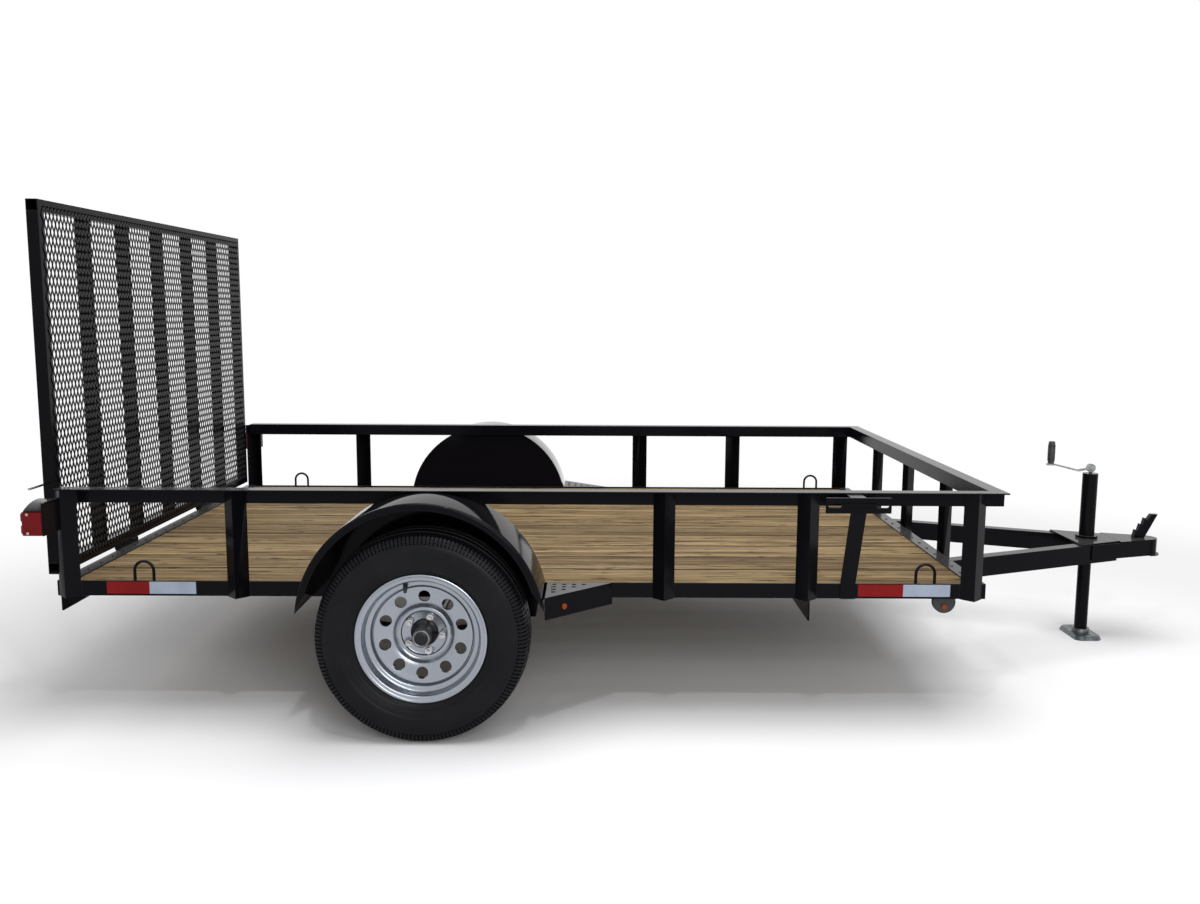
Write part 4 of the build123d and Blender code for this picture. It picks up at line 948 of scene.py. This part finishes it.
# Jack: a screw jack with a painted tube; its foot and crank are zinc plated and its grip is plastic.
# The grip is ribbed along its length and turns on the crank's end.
zinc_pale = (0.36, 0.37, 0.37, 1)
zinc_dull = (0.17, 0.18, 0.19, 1)
foot_pale = (0.17, 0.19, 0.20, 1)
foot_dull = (0.07, 0.08, 0.085, 1)
foot_round = 0.0015
crank_round = 0.001
grip_black = (0.012, 0.012, 0.013, 1)
grip_grey = (0.024, 0.024, 0.026, 1)
grip_ribs = 20
rib_half = 0.0011
rib_root = 0.0006
rib_rise = 0.0012
rib_from_end = 0.014
zinc_plate = plated_steel("zinc", zinc_pale, zinc_dull, (0.22, 0.42))
foot_plate = plated_steel("foot_zinc", foot_pale, foot_dull, (0.25, 0.45))
finish("jack_foot", foot_plate)
finish("jack_crank", zinc_plate)
ease_edges("jack_foot", foot_round)
ease_edges("jack_crank", crank_round)
grip_plastic, tree, shader = new_material("grip_plastic")
grip_tone = ramp(tree, object_noise(tree, 60.0), (0.3, grip_black), (0.8, grip_grey))
link(tree, grip_tone, shader.inputs["Base Color"])
link(tree, span(tree, object_noise(tree, 120.0), 0.42, 0.6), shader.inputs["Roughness"])
finish("jack_grip", grip_plastic)
grip_low, grip_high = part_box("jack_grip")
grip_x = (grip_low.x + grip_high.x) / 2
grip_radius = (grip_high.x - grip_low.x) / 2
ribs = bmesh.new()
for index in range(grip_ribs):
    rib = block(ribs, (-rib_half, -rib_root, grip_low.z + rib_from_end),
                (rib_half, rib_rise, grip_high.z - rib_from_end))
    bmesh.ops.translate(ribs, vec=(0, rib_rise - grip_radius, 0), verts=rib)
    turn = Matrix.Rotation(tau * index / grip_ribs, 3, "Z")
    bmesh.ops.rotate(ribs, verts=rib, cent=(0, 0, 0), matrix=turn)
    bmesh.ops.translate(ribs, vec=(grip_x, 0, 0), verts=rib)
piece("grip_ribs", ribs, "chassis", grip_plastic)

# Gate latches: a bent steel rod on each side of the gate, zinc plated.
# It slides out over the rail's end, and its inner end is turned down as a handle.
latch_radius = 0.0042
latch_behind = 0.0265
latch_rise = 0.007
latch_tip = 1.046
latch_turn = 0.930
latch_handle = 0.075
latch_sides = 12


def rod(shape, points, radius):
    """Round rod through a line of points, with a ball at each bend."""
    for start, end in zip(points, points[1:]):
        run = Vector(end) - Vector(start)
        drum(shape, start, run.normalized(), radius, radius, run.length, latch_sides)
    for bend in points[1:-1]:
        ball = bmesh.ops.create_icosphere(shape, subdivisions=2, radius=radius)["verts"]
        bmesh.ops.translate(shape, vec=bend, verts=ball)


latches = bmesh.new()
latch_x = frame_low.x - latch_behind
latch_z = rail_high.z + latch_rise
for out in (-1, 1):
    rod(latches, ((latch_x, out * latch_tip, latch_z), (latch_x, out * latch_turn, latch_z),
                  (latch_x, out * latch_turn, latch_z - latch_handle)), latch_radius)
piece("gate_latches", latches, "gate", zinc_plate, smooth=40)

# Gate mesh: expanded steel sheet, slit and pulled so that it opens into tall diamonds.
# Its strands zigzag from top to bottom and meet their neighbours at short bonds.
cell_wide = 0.0234
cell_tall = 0.0508
strand_wide = 0.0053
strand_deep = 0.0026
bond_share = 0.16
mesh_low, mesh_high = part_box("gate_mesh")
strand_count = 2 * int((mesh_high.y - mesh_low.y - strand_wide) / cell_wide)
half_cells = int((mesh_high.z - mesh_low.z) / (cell_tall / 2))
rise = (mesh_high.z - mesh_low.z) / half_cells
pitch = (mesh_high.y - mesh_low.y - strand_wide) / strand_count
expanded = bmesh.new()
base_x = (mesh_low.x + mesh_high.x) / 2
base_y = mesh_low.y + strand_wide / 2
corners = [
    expanded.verts.new((base_x + deep * strand_deep / 2, base_y + wide * strand_wide / 2, mesh_low.z))
    for deep, wide in ((-1, -1), (1, -1), (1, 1), (-1, 1))
]
ring_edges = [expanded.edges.new((corners[index], corners[(index + 1) % 4])) for index in range(4)]
bmesh.ops.contextual_create(expanded, geom=ring_edges)
for step in range(half_cells):
    sway = pitch if step % 2 == 0 else -pitch
    for share, shift in ((1 - bond_share, sway), (bond_share, 0.0)):
        grown = bmesh.ops.extrude_edge_only(expanded, edges=ring_edges)["geom"]
        ring_edges = [part for part in grown if isinstance(part, bmesh.types.BMEdge)
                      and all(vert in grown for vert in part.verts)]
        moved = [part for part in grown if isinstance(part, bmesh.types.BMVert)]
        bmesh.ops.translate(expanded, vec=(0, shift, rise * share), verts=moved)
bmesh.ops.contextual_create(expanded, geom=ring_edges)
strand = expanded.verts[:] + expanded.edges[:] + expanded.faces[:]
for index in range(1, strand_count):
    copy = bmesh.ops.duplicate(expanded, geom=strand)["geom"]
    verts = [part for part in copy if isinstance(part, bmesh.types.BMVert)]
    if index % 2:
        turned = [part for part in copy if isinstance(part, bmesh.types.BMFace)]
        middle_y = base_y + pitch / 2
        bmesh.ops.translate(expanded, vec=(0, -middle_y, 0), verts=verts)
        bmesh.ops.scale(expanded, vec=(1, -1, 1), verts=verts)
        bmesh.ops.translate(expanded, vec=(0, middle_y, 0), verts=verts)
        bmesh.ops.reverse_faces(expanded, faces=turned)
    bmesh.ops.translate(expanded, vec=(0, index * pitch, 0), verts=verts)
bmesh.ops.recalc_face_normals(expanded, faces=expanded.faces)
mesh_paint = gloss_paint("gate_mesh_paint", paint_black, paint_dust_and_sheen, (0.16, 0.30), 0.14)
gate_sheet = piece("expanded_mesh", expanded, "gate", mesh_paint)
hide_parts("gate_mesh")
